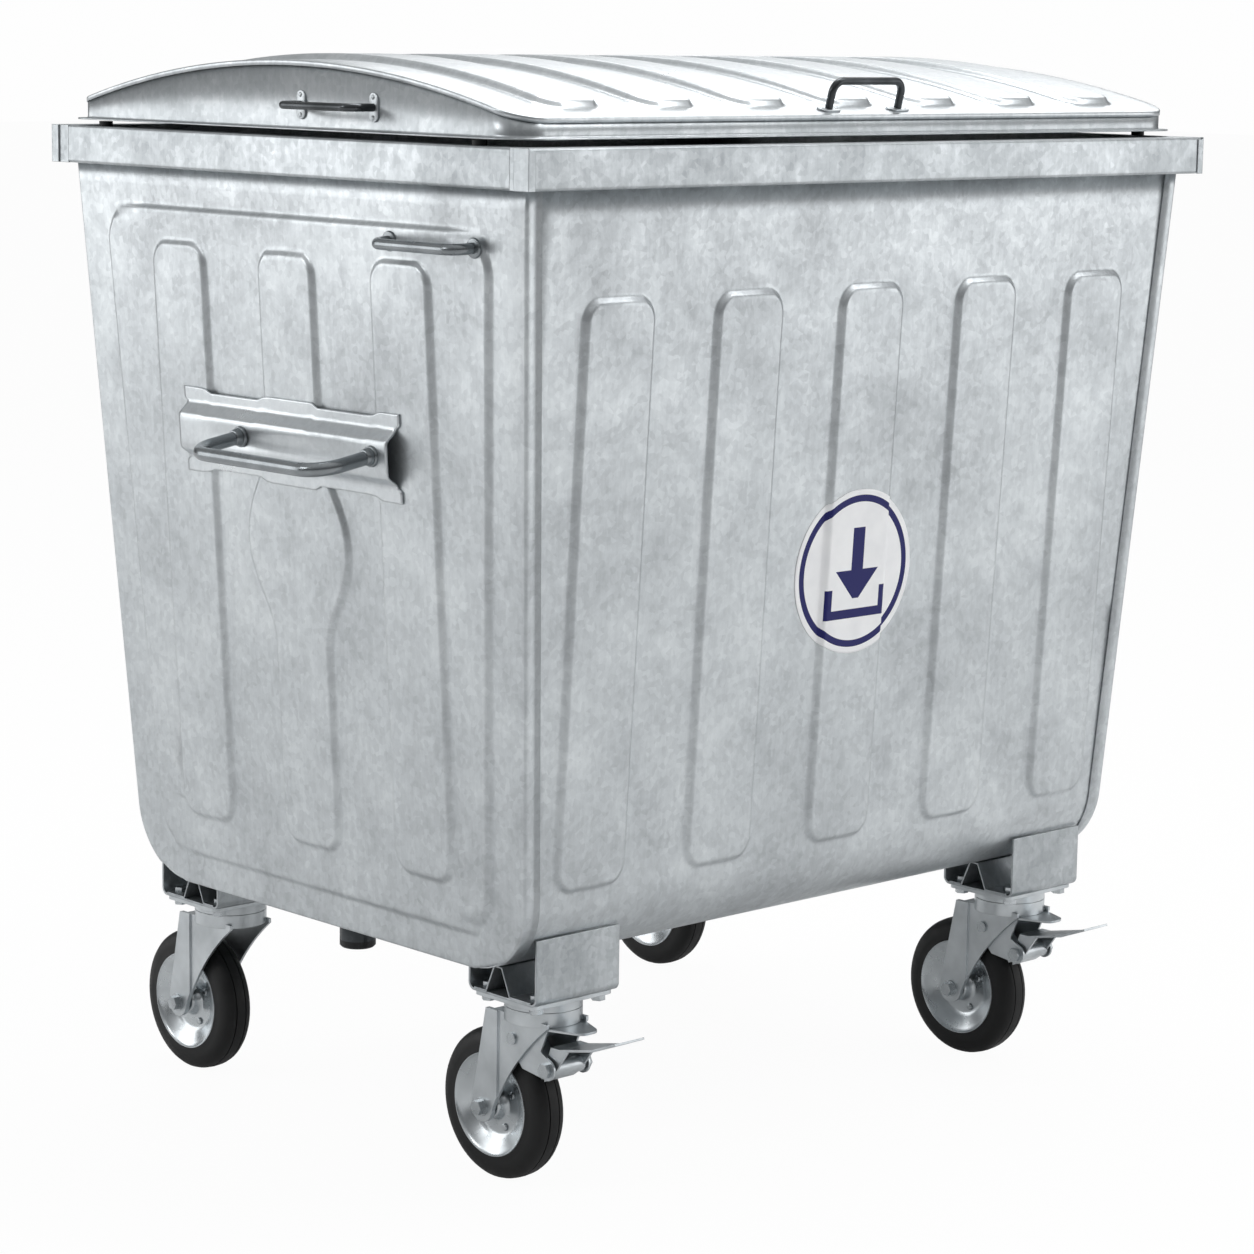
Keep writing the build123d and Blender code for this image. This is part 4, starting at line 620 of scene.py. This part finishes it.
def lid_outline():
    """A bmesh of the lid's outline at the flange's height, with edges short enough to follow the barrel."""
    bm = bmesh.new()
    bmesh.ops.create_grid(bm, x_segments=1, y_segments=1, size=0.5)
    for v in bm.verts:
        v.co.x *= 2 * LID_HALF_WIDTH * MM
        v.co.y = (-LID_FRONT if v.co.y < 0 else LID_REAR) * MM
        v.co.z = FLANGE_Z * MM
    for sign, corner in ((-1, LID_CORNERS[0]), (1, LID_CORNERS[1])):
        corners = [v for v in bm.verts if v.co.y * sign > 0.4 and abs(v.co.x) > 0.6]
        bmesh.ops.bevel(
            bm, geom=corners, offset=corner * MM, offset_type="OFFSET", segments=10, profile=0.5,
            affect="VERTICES", material=-1,
        )
    bmesh.ops.delete(bm, geom=bm.faces[:], context="FACES_ONLY")
    long_edges = [e for e in bm.edges if e.calc_length() > 0.1]
    bmesh.ops.subdivide_edges(bm, edges=long_edges, cuts=29)
    return bm


band = lid_outline()
ring = band.edges[:]
for v in band.verts:
    v.co += lid_away(v.co.x / MM, v.co.y / MM) * FLANGE_OUT * MM
for out, up in ((-FLANGE_OUT + 3.0, 0.0), (-2.0, 0.5), (-0.8, 1.2), (-0.2, 2.0), (0.0, None)):
    grown = bmesh.ops.extrude_edge_only(band, edges=ring)["geom"]
    ring = [g for g in grown if isinstance(g, bmesh.types.BMEdge)]
    ring = [e for e in ring if all(v in grown for v in e.verts) and e.is_boundary]
    for v in {v for e in ring for v in e.verts}:
        v.co += lid_away(v.co.x / MM, v.co.y / MM) * out * MM
        v.co.z = (arch(v.co.y / MM) - SHEET) * MM if up is None else v.co.z + up * MM
bmesh.ops.recalc_face_normals(band, faces=band.faces)
outer = max(band.faces, key=lambda f: f.calc_center_median().x + f.calc_center_median().z)
if outer.normal.x < 0 and outer.normal.z < 0.5:
    bmesh.ops.reverse_faces(band, faces=band.faces)
lid_frame_shown = make_piece("lid_frame_shown", band, FRAME_ZINC, "lid", ("lid_frame",), wall=SHEET)
print("lid frame faces:", len(lid_frame_shown.data.polygons))

# %% [markdown]
# ## The rim and the hinge iron
# The rim is a rolled box section with small outer radii, closed at the corners by folded caps. These pieces
# are right in the CAD model, so their own faces are kept and only their edges are rounded.

# %% Rim, caps and hinges
for node in ("rim_front", "rim_rear", "rim_left", "rim_right", "rim_corner_caps", "hinge_ears", "lid_lugs"):
    dress(node, RIM_ZINC)
dress("hinge_pins", FASTENER_ZINC)
dress("lid_rest_pads", PAD_RUBBER)
print("rim pieces dressed")

# %% [markdown]
# ## Rod handles
# Handles are round bar bent on a former and welded to small feet. A ring of points is extruded along the
# straight runs and spun round the bends, so the section stays round and the bend has its real radius.

# %% Rod handles


def grow_run(bm, ring, length):
    """Extrudes a ring of edges along its own facing direction, given in millimetres."""
    grown = bmesh.ops.extrude_edge_only(bm, edges=ring["edges"])["geom"]
    verts = [g for g in grown if isinstance(g, bmesh.types.BMVert)]
    bmesh.ops.translate(bm, verts=verts, vec=ring["way"] * length * MM)
    edges = [g for g in grown if isinstance(g, bmesh.types.BMEdge) and all(v in verts for v in g.verts)]
    return {"edges": edges, "way": ring["way"], "centre": ring["centre"] + ring["way"] * length * MM}


def grow_bend(bm, ring, radius, side_way, angle, steps=12):
    """Spins a ring of edges round a bend towards a side."""
    pivot = ring["centre"] + side_way * radius * MM
    axis = ring["way"].cross(side_way)
    spun = bmesh.ops.spin(
        bm, geom=ring["edges"], cent=pivot, axis=axis, angle=angle, steps=steps, use_merge=False,
        use_normal_flip=False,
    )["geom_last"]
    edges = [g for g in spun if isinstance(g, bmesh.types.BMEdge)]
    turn = Matrix.Rotation(angle, 3, axis)
    return {"edges": edges, "way": turn @ ring["way"], "centre": pivot + turn @ (ring["centre"] - pivot)}


def placed(bm, place):
    """Moves a finished bmesh to its place."""
    bmesh.ops.transform(bm, matrix=place, verts=bm.verts)
    return bm


def joined(parts):
    """One bmesh of several, with normals outwards."""
    whole = bmesh.new()
    for part in parts:
        carrier = bpy.data.meshes.new("carrier")
        part.to_mesh(carrier)
        part.free()
        whole.from_mesh(carrier)
        bpy.data.meshes.remove(carrier)
    bmesh.ops.recalc_face_normals(whole, faces=whole.faces)
    return whole


def bow(span_mm, reach, radius, bend, sink=2.0):
    """A U of round bar that stands on the XY plane, its bar along X."""
    bm = bmesh.new()
    disc = bmesh.ops.create_circle(bm, cap_ends=False, segments=24, radius=radius * MM)["verts"]
    start = Vector((-span_mm / 2, 0, -sink)) * MM
    bmesh.ops.translate(bm, verts=disc, vec=start)
    ring = {"edges": bm.edges[:], "way": Vector((0, 0, 1)), "centre": start}
    ring = grow_run(bm, ring, reach + sink - bend)
    ring = grow_bend(bm, ring, bend, Vector((1, 0, 0)), pi / 2)
    ring = grow_run(bm, ring, span_mm - 2 * bend)
    ring = grow_bend(bm, ring, bend, Vector((0, 0, -1)), pi / 2)
    grow_run(bm, ring, reach + sink - bend)
    return bm


def soft_rims(bm, radius):
    """Rounds a turned part's sharp rims."""
    rims = [e for e in bm.edges if e.calc_face_angle(0) > radians(40)]
    bmesh.ops.bevel(
        bm, geom=rims, offset=radius * MM, offset_type="OFFSET", segments=2, profile=0.5, affect="EDGES",
        material=-1,
    )


def round_foot(low_radius, high_radius, height):
    """A turned collar that stands on the XY plane."""
    bm = bmesh.new()
    bmesh.ops.create_cone(
        bm, cap_ends=True, segments=32, radius1=low_radius * MM, radius2=high_radius * MM, depth=height * MM,
        matrix=Matrix.Translation((0, 0, height * MM / 2)),
    )
    soft_rims(bm, 0.7)
    return bm


def rivet(radius, height):
    """A domed rivet head on the XY plane."""
    bm = bmesh.new()
    dome = bmesh.ops.create_uvsphere(bm, u_segments=16, v_segments=8, radius=radius * MM)["verts"]
    bmesh.ops.scale(bm, vec=(1, 1, height / radius), verts=dome)
    return bm


def oval_foot(length, width, height):
    """An oval foot plate with two rivets, its length along X."""
    plate = round_foot(width / 2, width / 2, height)
    for v in plate.verts:
        v.co.x += (length - width) / 2 * MM * (1 if v.co.x > 0 else -1)
    heads = [placed(rivet(3.0, 1.4), Matrix.Translation((s * (length / 2 - 5.5) * MM, 0, height * MM)))
             for s in (-1, 1)]
    return joined([plate, *heads])


def plane_at(origin, x_way, z_way):
    """A placing matrix from an origin in millimetres and two directions."""
    z = Vector(z_way).normalized()
    x = Vector(x_way).normalized()
    y = z.cross(x)
    matrix = Matrix((x, y, z)).transposed().to_4x4()
    matrix.translation = Vector(origin) * MM
    return matrix


def side_plane(side, y, z, lift):
    """A placing matrix on a side panel, lifted off its plain face."""
    lean = (TUB_HALF_WIDTH[1] - TUB_HALF_WIDTH[0]) / TUB_HEIGHT
    normal = Vector((side, 0, -lean)).normalized()
    origin = Vector((side * half_width(z), y, z)) + normal * lift
    return plane_at(origin, (0, side, 0), normal)


# %% [markdown]
# The lid's three handles are dark rod on bright oval feet with two rivets each. The front one stands on the barrel
# and leans with it, and the two others stand on the end walls. The tub's grab handles are plain bright bar
# on round feet. The big push handles stand on a pressed saddle plate across the three ribs.

# %% Handles of the lid and the tub
# Each bow is its span, reach, bar radius and bend radius.
LID_FRONT_BOW = (128.0, 38.0, 5.0, 16.0)
LID_END_BOW = (143.0, 38.0, 5.0, 16.0)
GRAB_BOW = (158.0, 30.0, 7.0, 20.0)
PUSH_BOW = (266.0, 84.0, 9.0, 38.0)
LID_HANDLE_Y = 424.0
LID_END_HANDLE_YZ = (-108.0, 1367.0)
GRAB_HANDLE_YZ = (-288.0, 1207.0)
PUSH_HANDLE_YZ = (-52.0, 943.0)
PUSH_HANDLE_TILT = atan(9 / 85)
lean = asin(LID_HANDLE_Y / LID_ARCH_RADIUS)
front_place = plane_at((0, -LID_HANDLE_Y, arch(LID_HANDLE_Y)), (1, 0, 0), (0, -sin(lean), cos(lean)))
FOOT = (36.0, 18.0, 2.5)


def along(x, z=0.0):
    """A shift along a handle's bar and away from its plane."""
    return Matrix.Translation((x * MM, 0, z * MM))


parts = [placed(bow(*LID_FRONT_BOW), front_place)]
feet = [placed(oval_foot(*FOOT), front_place @ along(s * LID_FRONT_BOW[0] / 2)) for s in (-1, 1)]
make_piece("lid_handle_front_shown", joined(parts), DARK_ROD, "lid", ("lid_handle_front",))

parts = []
quarter = Matrix.Rotation(pi / 2, 4, "Z")
for _, side in SIDES:
    place = plane_at((side * LID_HALF_WIDTH, *LID_END_HANDLE_YZ), (0, side, 0), (side, 0, 0))
    parts.append(placed(bow(*LID_END_BOW), place))
    feet += [placed(oval_foot(*FOOT), place @ along(s * LID_END_BOW[0] / 2) @ quarter) for s in (-1, 1)]
make_piece("lid_handles_side_shown", joined(parts), DARK_ROD, "lid", ("lid_handles_side",))
make_piece("lid_handle_feet", joined(feet), PRESSING_ZINC, "lid")

for side_name, side in SIDES:
    place = side_plane(side, *GRAB_HANDLE_YZ, FIELD_DEPTH)
    parts = [placed(bow(*GRAB_BOW), place)]
    parts += [placed(round_foot(13.0, 12.0, 3.0), place @ along(s * GRAB_BOW[0] / 2)) for s in (-1, 1)]
    node = f"grab_handle_{side_name}"
    make_piece(f"{node}_shown", joined(parts), DRAWN_ROD, "tub", (node,))

PLATE_LIFT = FIELD_DEPTH + SIDE_RIB_DEPTH + 0.3
BULGE = 16.0
PLATE_WALL = 2.5
for side_name, side in SIDES:
    place = side_plane(side, *PUSH_HANDLE_YZ, PLATE_LIFT + BULGE + PLATE_WALL)
    tilt = place @ Matrix.Rotation(PUSH_HANDLE_TILT, 4, "X")
    parts = [placed(bow(*PUSH_BOW, sink=0.0), tilt)]
    parts += [placed(round_foot(14.0, 13.0, 4.0), place @ along(s * PUSH_BOW[0] / 2)) for s in (-1, 1)]
    parts += [placed(round_foot(12.0, 9.6, 9.0), place @ along(s * PUSH_BOW[0] / 2, 4)) for s in (-1, 1)]
    node = f"push_handle_{side_name}"
    make_piece(f"{node}_shown", joined(parts), DRAWN_ROD, "tub", (node,))
print("handles made")

# %% [markdown]
# ## The saddle plates
# The push handle's plate is pressed to a flat-topped bulge between two ears, and its ends are open. Lobes
# reach up and down where it lies on the ribs. It is a grid again, whose rows follow the lobed outline.

# %% Saddle plates
PLATE_HALF = 214.0
PLATE_HIGH = 50.0
LOBE = 6.0
EAR_REACH = 7.0
PLATE_Z = 940.0
SCOOP = 2.0
lobe_centres = ((-196.0, 25.0), (0.0, 49.0), (196.0, 25.0))


def lobe_share(x):
    """How much of a lobe there is at a place along the plate."""
    return max(pressed(abs(x - centre) - half - 8, 10.0) for centre, half in lobe_centres)


def saddle_plate(side_name, side):
    """The pressed plate that carries a push handle."""
    place = side_plane(side, 0.0, PLATE_Z, PLATE_LIFT)
    columns = steps_between(-PLATE_HALF, PLATE_HALF, 12.0, (-PLATE_HALF, PLATE_HALF), fine=4.0, reach=20.0)
    rows = steps_between(-1.0, 1.0, 0.12, (-0.6, 0.6, -1.0, 1.0), fine=0.04, reach=0.2)

    def spot(x, v):
        """A point of the plate at a place along it and a share of its height."""
        y = v * (PLATE_HIGH + LOBE * lobe_share(x))
        flat = 1.0 - pressed(abs(y) - 42.0, 6.0)
        x_out = x * (PLATE_HALF + EAR_REACH * flat) / PLATE_HALF
        scoop = SCOOP * pressed(abs(y) - 16.0, 16.0) * pressed(abs(x) - 165.0, 60.0)
        rise = BULGE * pressed(abs(y) - 38.0, 18.0) - scoop
        return (x_out, y, PLATE_WALL + rise)

    bm = grid_of(columns, rows, spot)
    bmesh.ops.recalc_face_normals(bm, faces=bm.faces)
    if sum(f.normal.z for f in bm.faces) < 0:
        bmesh.ops.reverse_faces(bm, faces=bm.faces)
    bmesh.ops.transform(bm, matrix=place, verts=bm.verts)
    node = f"handle_plate_{side_name}"
    return make_piece(f"{node}_shown", bm, PLATE_ZINC, "tub", (node,), wall=PLATE_WALL)


for side_name, side in SIDES:
    print(saddle_plate(side_name, side).name)

# %% [markdown]
# ## Wheels
# The wheel has a pressed steel centre, dished towards its lip, and a solid rubber tyre with round shoulders
# and two fine grooves in the tread. Both are turned shapes, so half a section is drawn once and spun round
# the axle, whose place is that of the CAD model.

# %% Wheels
CASTER_X, CASTER_Y, TRAIL, AXLE_Z = 448.0, 328.5, 75.0, 100.0
RIVET_CIRCLE = 33.0
RIVET_OUT = 10.6
RIVET_TURN = pi / 4 + 0.3
TURNED_STEPS = 72
TYRE_SECTION = (
    (24.0, 67.0), (24.3, 70.0), (23.6, 73.5), (23.9, 78.0), (23.2, 84.0), (21.6, 89.5), (18.8, 94.2),
    (14.8, 97.4), (9.6, 99.1), (8.6, 99.2), (8.3, 97.6), (7.3, 97.6), (7.0, 99.4), (0.0, 99.9),
)
CENTRE_SECTION = (
    (25.0, 12.2), (25.0, 16.2), (24.2, 17.2), (20.0, 18.4), (13.0, 20.4), (11.0, 22.6), (10.3, 26.0),
    (10.3, 39.0), (11.0, 42.5), (13.4, 46.5), (19.0, 56.0), (21.8, 62.0), (23.0, 64.6), (24.2, 66.2),
    (25.2, 66.9), (25.2, 67.8), (24.0, 68.2), (22.5, 67.4),
)


def turned(name, section, centre, material, body, node, mirrored=True):
    """A shape turned round the axle from (offset along the axle, radius) points."""
    bm = bmesh.new()
    points = list(section)
    if mirrored:
        points += [(-x, r) for x, r in reversed(section) if x > 0]
    verts = [bm.verts.new((centre + Vector((x, 0, r))) * MM) for x, r in points]
    edges = [bm.edges.new(pair) for pair in zip(verts, verts[1:])]
    bmesh.ops.spin(
        bm, geom=verts + edges, cent=centre * MM, axis=(1, 0, 0), angle=2 * pi, steps=TURNED_STEPS, use_merge=True,
        use_normal_flip=False,
    )
    bmesh.ops.remove_doubles(bm, verts=bm.verts, dist=WELD_MM * MM)
    bmesh.ops.recalc_face_normals(bm, faces=bm.faces)
    far = max(bm.faces, key=lambda f: (f.calc_center_median() - centre * MM).length)
    outwards = far.calc_center_median() - centre * MM
    if far.normal.dot(outwards) < 0:
        bmesh.ops.reverse_faces(bm, faces=bm.faces)
    return make_piece(name, bm, material, body, (node,) if node else ())


def hub_rivets(corner, centre):
    """Four rivets in the wheel's disc on each side."""
    heads = []
    for side in (-1, 1):
        for k in range(4):
            angle = RIVET_TURN + k * pi / 2
            at = centre + Vector((side * RIVET_OUT, RIVET_CIRCLE * cos(angle), RIVET_CIRCLE * sin(angle)))
            turned_out = Matrix.Translation(at * MM) @ Matrix.Rotation(side * pi / 2, 4, "Y")
            heads.append(placed(round_foot(5.2, 4.2, 2.6), turned_out))
    bm = joined(heads)
    return make_piece(f"hub_rivets_{corner}", bm, FASTENER_ZINC, f"wheel_{corner}")


for corner, sx, sy in CORNERS:
    centre = Vector((sx * CASTER_X, sy * CASTER_Y + TRAIL, AXLE_Z))
    turned(f"tyre_{corner}_shown", TYRE_SECTION, centre, TYRE_RUBBER, f"wheel_{corner}", f"tyre_{corner}")
    turned(f"wheel_rim_{corner}_shown", CENTRE_SECTION, centre, SPUN_ZINC, f"wheel_{corner}", f"wheel_rim_{corner}")
    hub_rivets(corner, centre)
print("wheels made")

# %% [markdown]
# ## Casters and brackets
# Forks, brakes, plates and bolts keep their CAD shape, and their edges get the small radius that catches the
# light on ironwork.

# %% Casters and brackets
for corner, _, _ in CORNERS:
    for kind, finish in (
        ("caster_bracket", RIM_ZINC), ("fork", PRESSING_ZINC), ("axle_bolt", FASTENER_ZINC),
        ("bearing", FASTENER_ZINC),
    ):
        dress(f"{kind}_{corner}", finish)
for side_name, _ in SIDES:
    for kind, finish in (
        ("housing", PRESSING_ZINC), ("pins", FASTENER_ZINC), ("pedal", PRESSING_ZINC), ("shoe", PRESSING_ZINC),
    ):
        dress(f"brake_{kind}_{side_name}", finish)
for node, finish in (
    ("bracket_stiffeners", RIM_ZINC), ("caster_bolts", FASTENER_ZINC), ("caster_top_plates", PRESSING_ZINC),
    ("kingpins", FASTENER_ZINC), ("drain_spout", DARK_ROD), ("drain_plug", DRAIN_PLASTIC),
):
    dress(node, finish)
print("casters dressed")

# %% [markdown]
# ## The round sticker
# A printed film on the middle rib, with a plain sign of its own: an arrow down into an open tray inside a
# ring. The film is a round grid that lies on the pressed sheet, a hair above it, so it dips at the rib's
# edges. The print is drawn by the material from the film's own place.

# %% Sticker
STICKER_Z = 771.0
STICKER_RADIUS = 109.0
STICKER_LIFT = 0.45
STICKER_CELLS = 72
FILM = 0.15
INK = "10135E"
PAPER = ("F1F2F4", "FAFBFC")
# The print, in metres: the ring's radii, then the arrow's and the tray's half widths and heights from the middle.
RING_INNER, RING_OUTER = 0.092, 0.101
SHAFT_HALF, SHAFT_TOP = 0.011, 0.058
HEAD_SLOPE, HEAD_HALF = 0.9, 0.038
HEAD_TIP, HEAD_TOP = -0.036, 0.002
TRAY_HALF, TRAY_INNER = 0.056, 0.044
TRAY_FOOT, TRAY_FLOOR, TRAY_TOP = -0.062, -0.050, -0.022


def sticker_material():
    """White film with a printed ring, arrow and tray."""
    material, tree, shader, place = new_material("printed_film_sticker")
    axes = add_node(tree, "ShaderNodeSeparateXYZ", {"Vector": place})
    x, z = axes.outputs["X"], axes.outputs["Z"]

    def calc(kind, a, b=0.0, c=0.0):
        node = tree.nodes.new("ShaderNodeMath")
        node.operation = kind
        for socket, value in zip(node.inputs, (a, b, c)):
            if isinstance(value, float):
                socket.default_value = value
            else:
                tree.links.new(value, socket)
        return node.outputs[0]

    up = calc("SUBTRACT", z, STICKER_Z * MM)
    wide = calc("ABSOLUTE", x)
    far = calc("SQRT", calc("ADD", calc("MULTIPLY", x, x), calc("MULTIPLY", up, up)))

    def below(value, limit):
        return calc("LESS_THAN", value, limit)

    def above(value, limit):
        return calc("GREATER_THAN", value, limit)

    def both(*parts):
        result = parts[0]
        for part in parts[1:]:
            result = calc("MULTIPLY", result, part)
        return result

    def either(*parts):
        result = parts[0]
        for part in parts[1:]:
            result = calc("MAXIMUM", result, part)
        return result

    ring = both(above(far, RING_INNER), below(far, RING_OUTER))
    shaft = both(below(wide, SHAFT_HALF), above(up, 0.0), below(up, SHAFT_TOP))
    head_half = calc("MULTIPLY_ADD", up, HEAD_SLOPE, HEAD_HALF)
    head = both(below(wide, head_half), above(up, HEAD_TIP), below(up, HEAD_TOP))
    tray_floor = both(below(wide, TRAY_HALF), above(up, TRAY_FOOT), below(up, TRAY_FLOOR))
    tray_wall = both(below(wide, TRAY_HALF), above(wide, TRAY_INNER), above(up, TRAY_FOOT), below(up, TRAY_TOP))
    ink = either(ring, shaft, head, tray_floor, tray_wall)
    film = noise(tree, place, 30, detail=4.0)
    paper = ramp(tree, film, [(0.3, PAPER[0]), (0.7, PAPER[1])])
    mixed = add_node(tree, "ShaderNodeMix", {"Factor": ink, "A": paper}, data_type="RGBA")
    mixed.inputs["B"].default_value = linear(INK)
    tree.links.new(mixed.outputs["Result"], shader.inputs["Base Color"])
    tree.links.new(span(tree, film, 0.42, 0.50), shader.inputs["Roughness"])
    shader.inputs["Specular IOR Level"].default_value = 0.3
    return material


bm = bmesh.new()
bmesh.ops.create_grid(bm, x_segments=STICKER_CELLS, y_segments=STICKER_CELLS, size=STICKER_RADIUS * MM)
for v in bm.verts:
    square = Vector((v.co.x, v.co.y)) / (STICKER_RADIUS * MM)
    disc_x = square.x * sqrt(1 - square.y**2 / 2)
    disc_y = square.y * sqrt(1 - square.x**2 / 2)
    x, z = disc_x * STICKER_RADIUS, STICKER_Z + disc_y * STICKER_RADIUS
    out = rib_rise(x, z) + STICKER_LIFT
    v.co = Vector((x, -half_depth(z) - out * cos(wall_lean), z - out * sin(wall_lean))) * MM
bmesh.ops.recalc_face_normals(bm, faces=bm.faces)
if sum(f.normal.y for f in bm.faces) > 0:
    bmesh.ops.reverse_faces(bm, faces=bm.faces)
make_piece("round_sticker", bm, sticker_material(), "tub", wall=FILM)
print("sticker radius:", STICKER_RADIUS)

# %% [markdown]
# ## Stage, light and camera
# The floor and the background glow white for the camera, and the floor keeps a faint shadow. The tub's walls
# mirror what stands near the horizon, so two large panels stand low at the left rear and the right front. The
# lid mirrors what is above, so softboxes hang over the rear, the top and the front, and a small one keys the
# left end. The sky darkens downwards, which gives the metal its contrast. The camera repeats the photograph's
# view: its place and turn were solved from the rim's corners and the wheels.

# %% Stage
FLOOR_SIZE = 40.0
CAMERA_GLOW, BOUNCE_GLOW = 0.82, 0.14
floor_mesh = bpy.data.meshes.new("floor")
bm = bmesh.new()
bmesh.ops.create_grid(bm, x_segments=1, y_segments=1, size=FLOOR_SIZE)
bm.to_mesh(floor_mesh)
bm.free()
floor = bpy.data.objects.new("floor", floor_mesh)
bpy.context.scene.collection.objects.link(floor)
floor_material = bpy.data.materials.new("studio_floor")
floor_material.use_nodes = True
tree = floor_material.node_tree
tree.nodes.clear()
matt = add_node(tree, "ShaderNodeBsdfDiffuse", values={"Color": linear("DEDEDE")})
glow = add_node(tree, "ShaderNodeEmission", values={"Color": (1, 1, 1, 1), "Strength": 1.0})
ray = add_node(tree, "ShaderNodeLightPath")
share = add_node(
    tree, "ShaderNodeMath", {0: ray.outputs["Is Camera Ray"]}, {1: CAMERA_GLOW, 2: BOUNCE_GLOW},
    operation="MULTIPLY_ADD",
)
blend = add_node(tree, "ShaderNodeMixShader", {0: share.outputs[0], 1: matt.outputs[0], 2: glow.outputs[0]})
add_node(tree, "ShaderNodeOutputMaterial", {"Surface": blend.outputs[0]})
floor_mesh.materials.append(floor_material)

world = bpy.data.worlds.new("studio")
bpy.context.scene.world = world
world.use_nodes = True
tree = world.node_tree
tree.nodes.clear()
ray = add_node(tree, "ShaderNodeLightPath")
way = add_node(tree, "ShaderNodeTexCoord").outputs["Generated"]
height = add_node(tree, "ShaderNodeSeparateXYZ", {"Vector": way}).outputs["Z"]
rise = span(tree, height, 0.0, 1.0, -0.2, 0.9)
sky = ramp(tree, rise, [(0.0, "333435"), (0.30, "606264"), (1.0, "F4F4F4")])
dome = add_node(tree, "ShaderNodeBackground", {"Color": sky}, {"Strength": 0.85})
white = add_node(tree, "ShaderNodeBackground", values={"Color": (1, 1, 1, 1), "Strength": 0.99})
is_camera = ray.outputs["Is Camera Ray"]
pick = add_node(tree, "ShaderNodeMixShader", {0: is_camera, 1: dome.outputs[0], 2: white.outputs[0]})
add_node(tree, "ShaderNodeOutputWorld", {"Surface": pick.outputs[0]})


def soft_lamp(name, place, aim, size, watts):
    """A rectangular lamp at a place, turned to an aim, in metres and watts."""
    lamp = bpy.data.lights.new(name, "AREA")
    lamp.shape = "RECTANGLE"
    lamp.size, lamp.size_y = size
    lamp.energy = watts
    holder = bpy.data.objects.new(name, lamp)
    holder.location = place
    holder.rotation_euler = (Vector(aim) - Vector(place)).to_track_quat("-Z", "Y").to_euler()
    bpy.context.scene.collection.objects.link(holder)


soft_lamp("left_panel", (-4.6, 5.2, 1.9), (-0.4, 0, 0.7), (4.2, 3.4), 102)
soft_lamp("right_panel", (4.8, -5.0, 1.5), (0.2, -0.3, 0.6), (4.4, 3.4), 82)
soft_lamp("rear_panel", (4.6, 3.8, 4.6), (0, -0.2, 1.3), (3.4, 2.2), 62)
soft_lamp("key_softbox", (-5.2, 1.6, 3.6), (-0.2, 0, 1.0), (1.6, 1.2), 50)
soft_lamp("top_softbox", (0.6, 0.2, 4.6), (0, 0, 1.2), (2.6, 1.2), 90)
soft_lamp("front_softbox", (2.3, -2.7, 4.9), (0, -0.3, 1.2), (2.6, 2.2), 70)
print("lamps placed")

# %% Camera
CAMERA_YAW, CAMERA_PITCH, CAMERA_ROLL = radians(-43.169), radians(-9.452), radians(0.817)
PHOTO_WIDTH_PX = 1254.0
FOCAL_PX = 3616.2
SENSOR_MM = 36.0
CAMERA_PLACE = (-3.416, -3.6373, 1.4705)
CLIP_END = 100
ahead = Vector((-sin(CAMERA_YAW) * cos(CAMERA_PITCH), cos(CAMERA_YAW) * cos(CAMERA_PITCH), sin(CAMERA_PITCH)))
level = Vector((cos(CAMERA_YAW), sin(CAMERA_YAW), 0))
upright = level.cross(ahead)
right_way = level * cos(CAMERA_ROLL) + upright * sin(CAMERA_ROLL)
up_way = upright * cos(CAMERA_ROLL) - level * sin(CAMERA_ROLL)
lens = bpy.data.cameras.new("camera")
lens.sensor_width = SENSOR_MM
lens.lens = FOCAL_PX / PHOTO_WIDTH_PX * SENSOR_MM
lens.clip_end = CLIP_END
camera = bpy.data.objects.new("camera", lens)
turned_to = Matrix((right_way, up_way, -ahead)).transposed().to_4x4()
turned_to.translation = Vector(CAMERA_PLACE)
camera.matrix_world = turned_to
bpy.context.scene.collection.objects.link(camera)
bpy.context.scene.camera = camera
bpy.context.scene.view_settings.view_transform = "Standard"
print("lens:", round(lens.lens, 1), "mm")
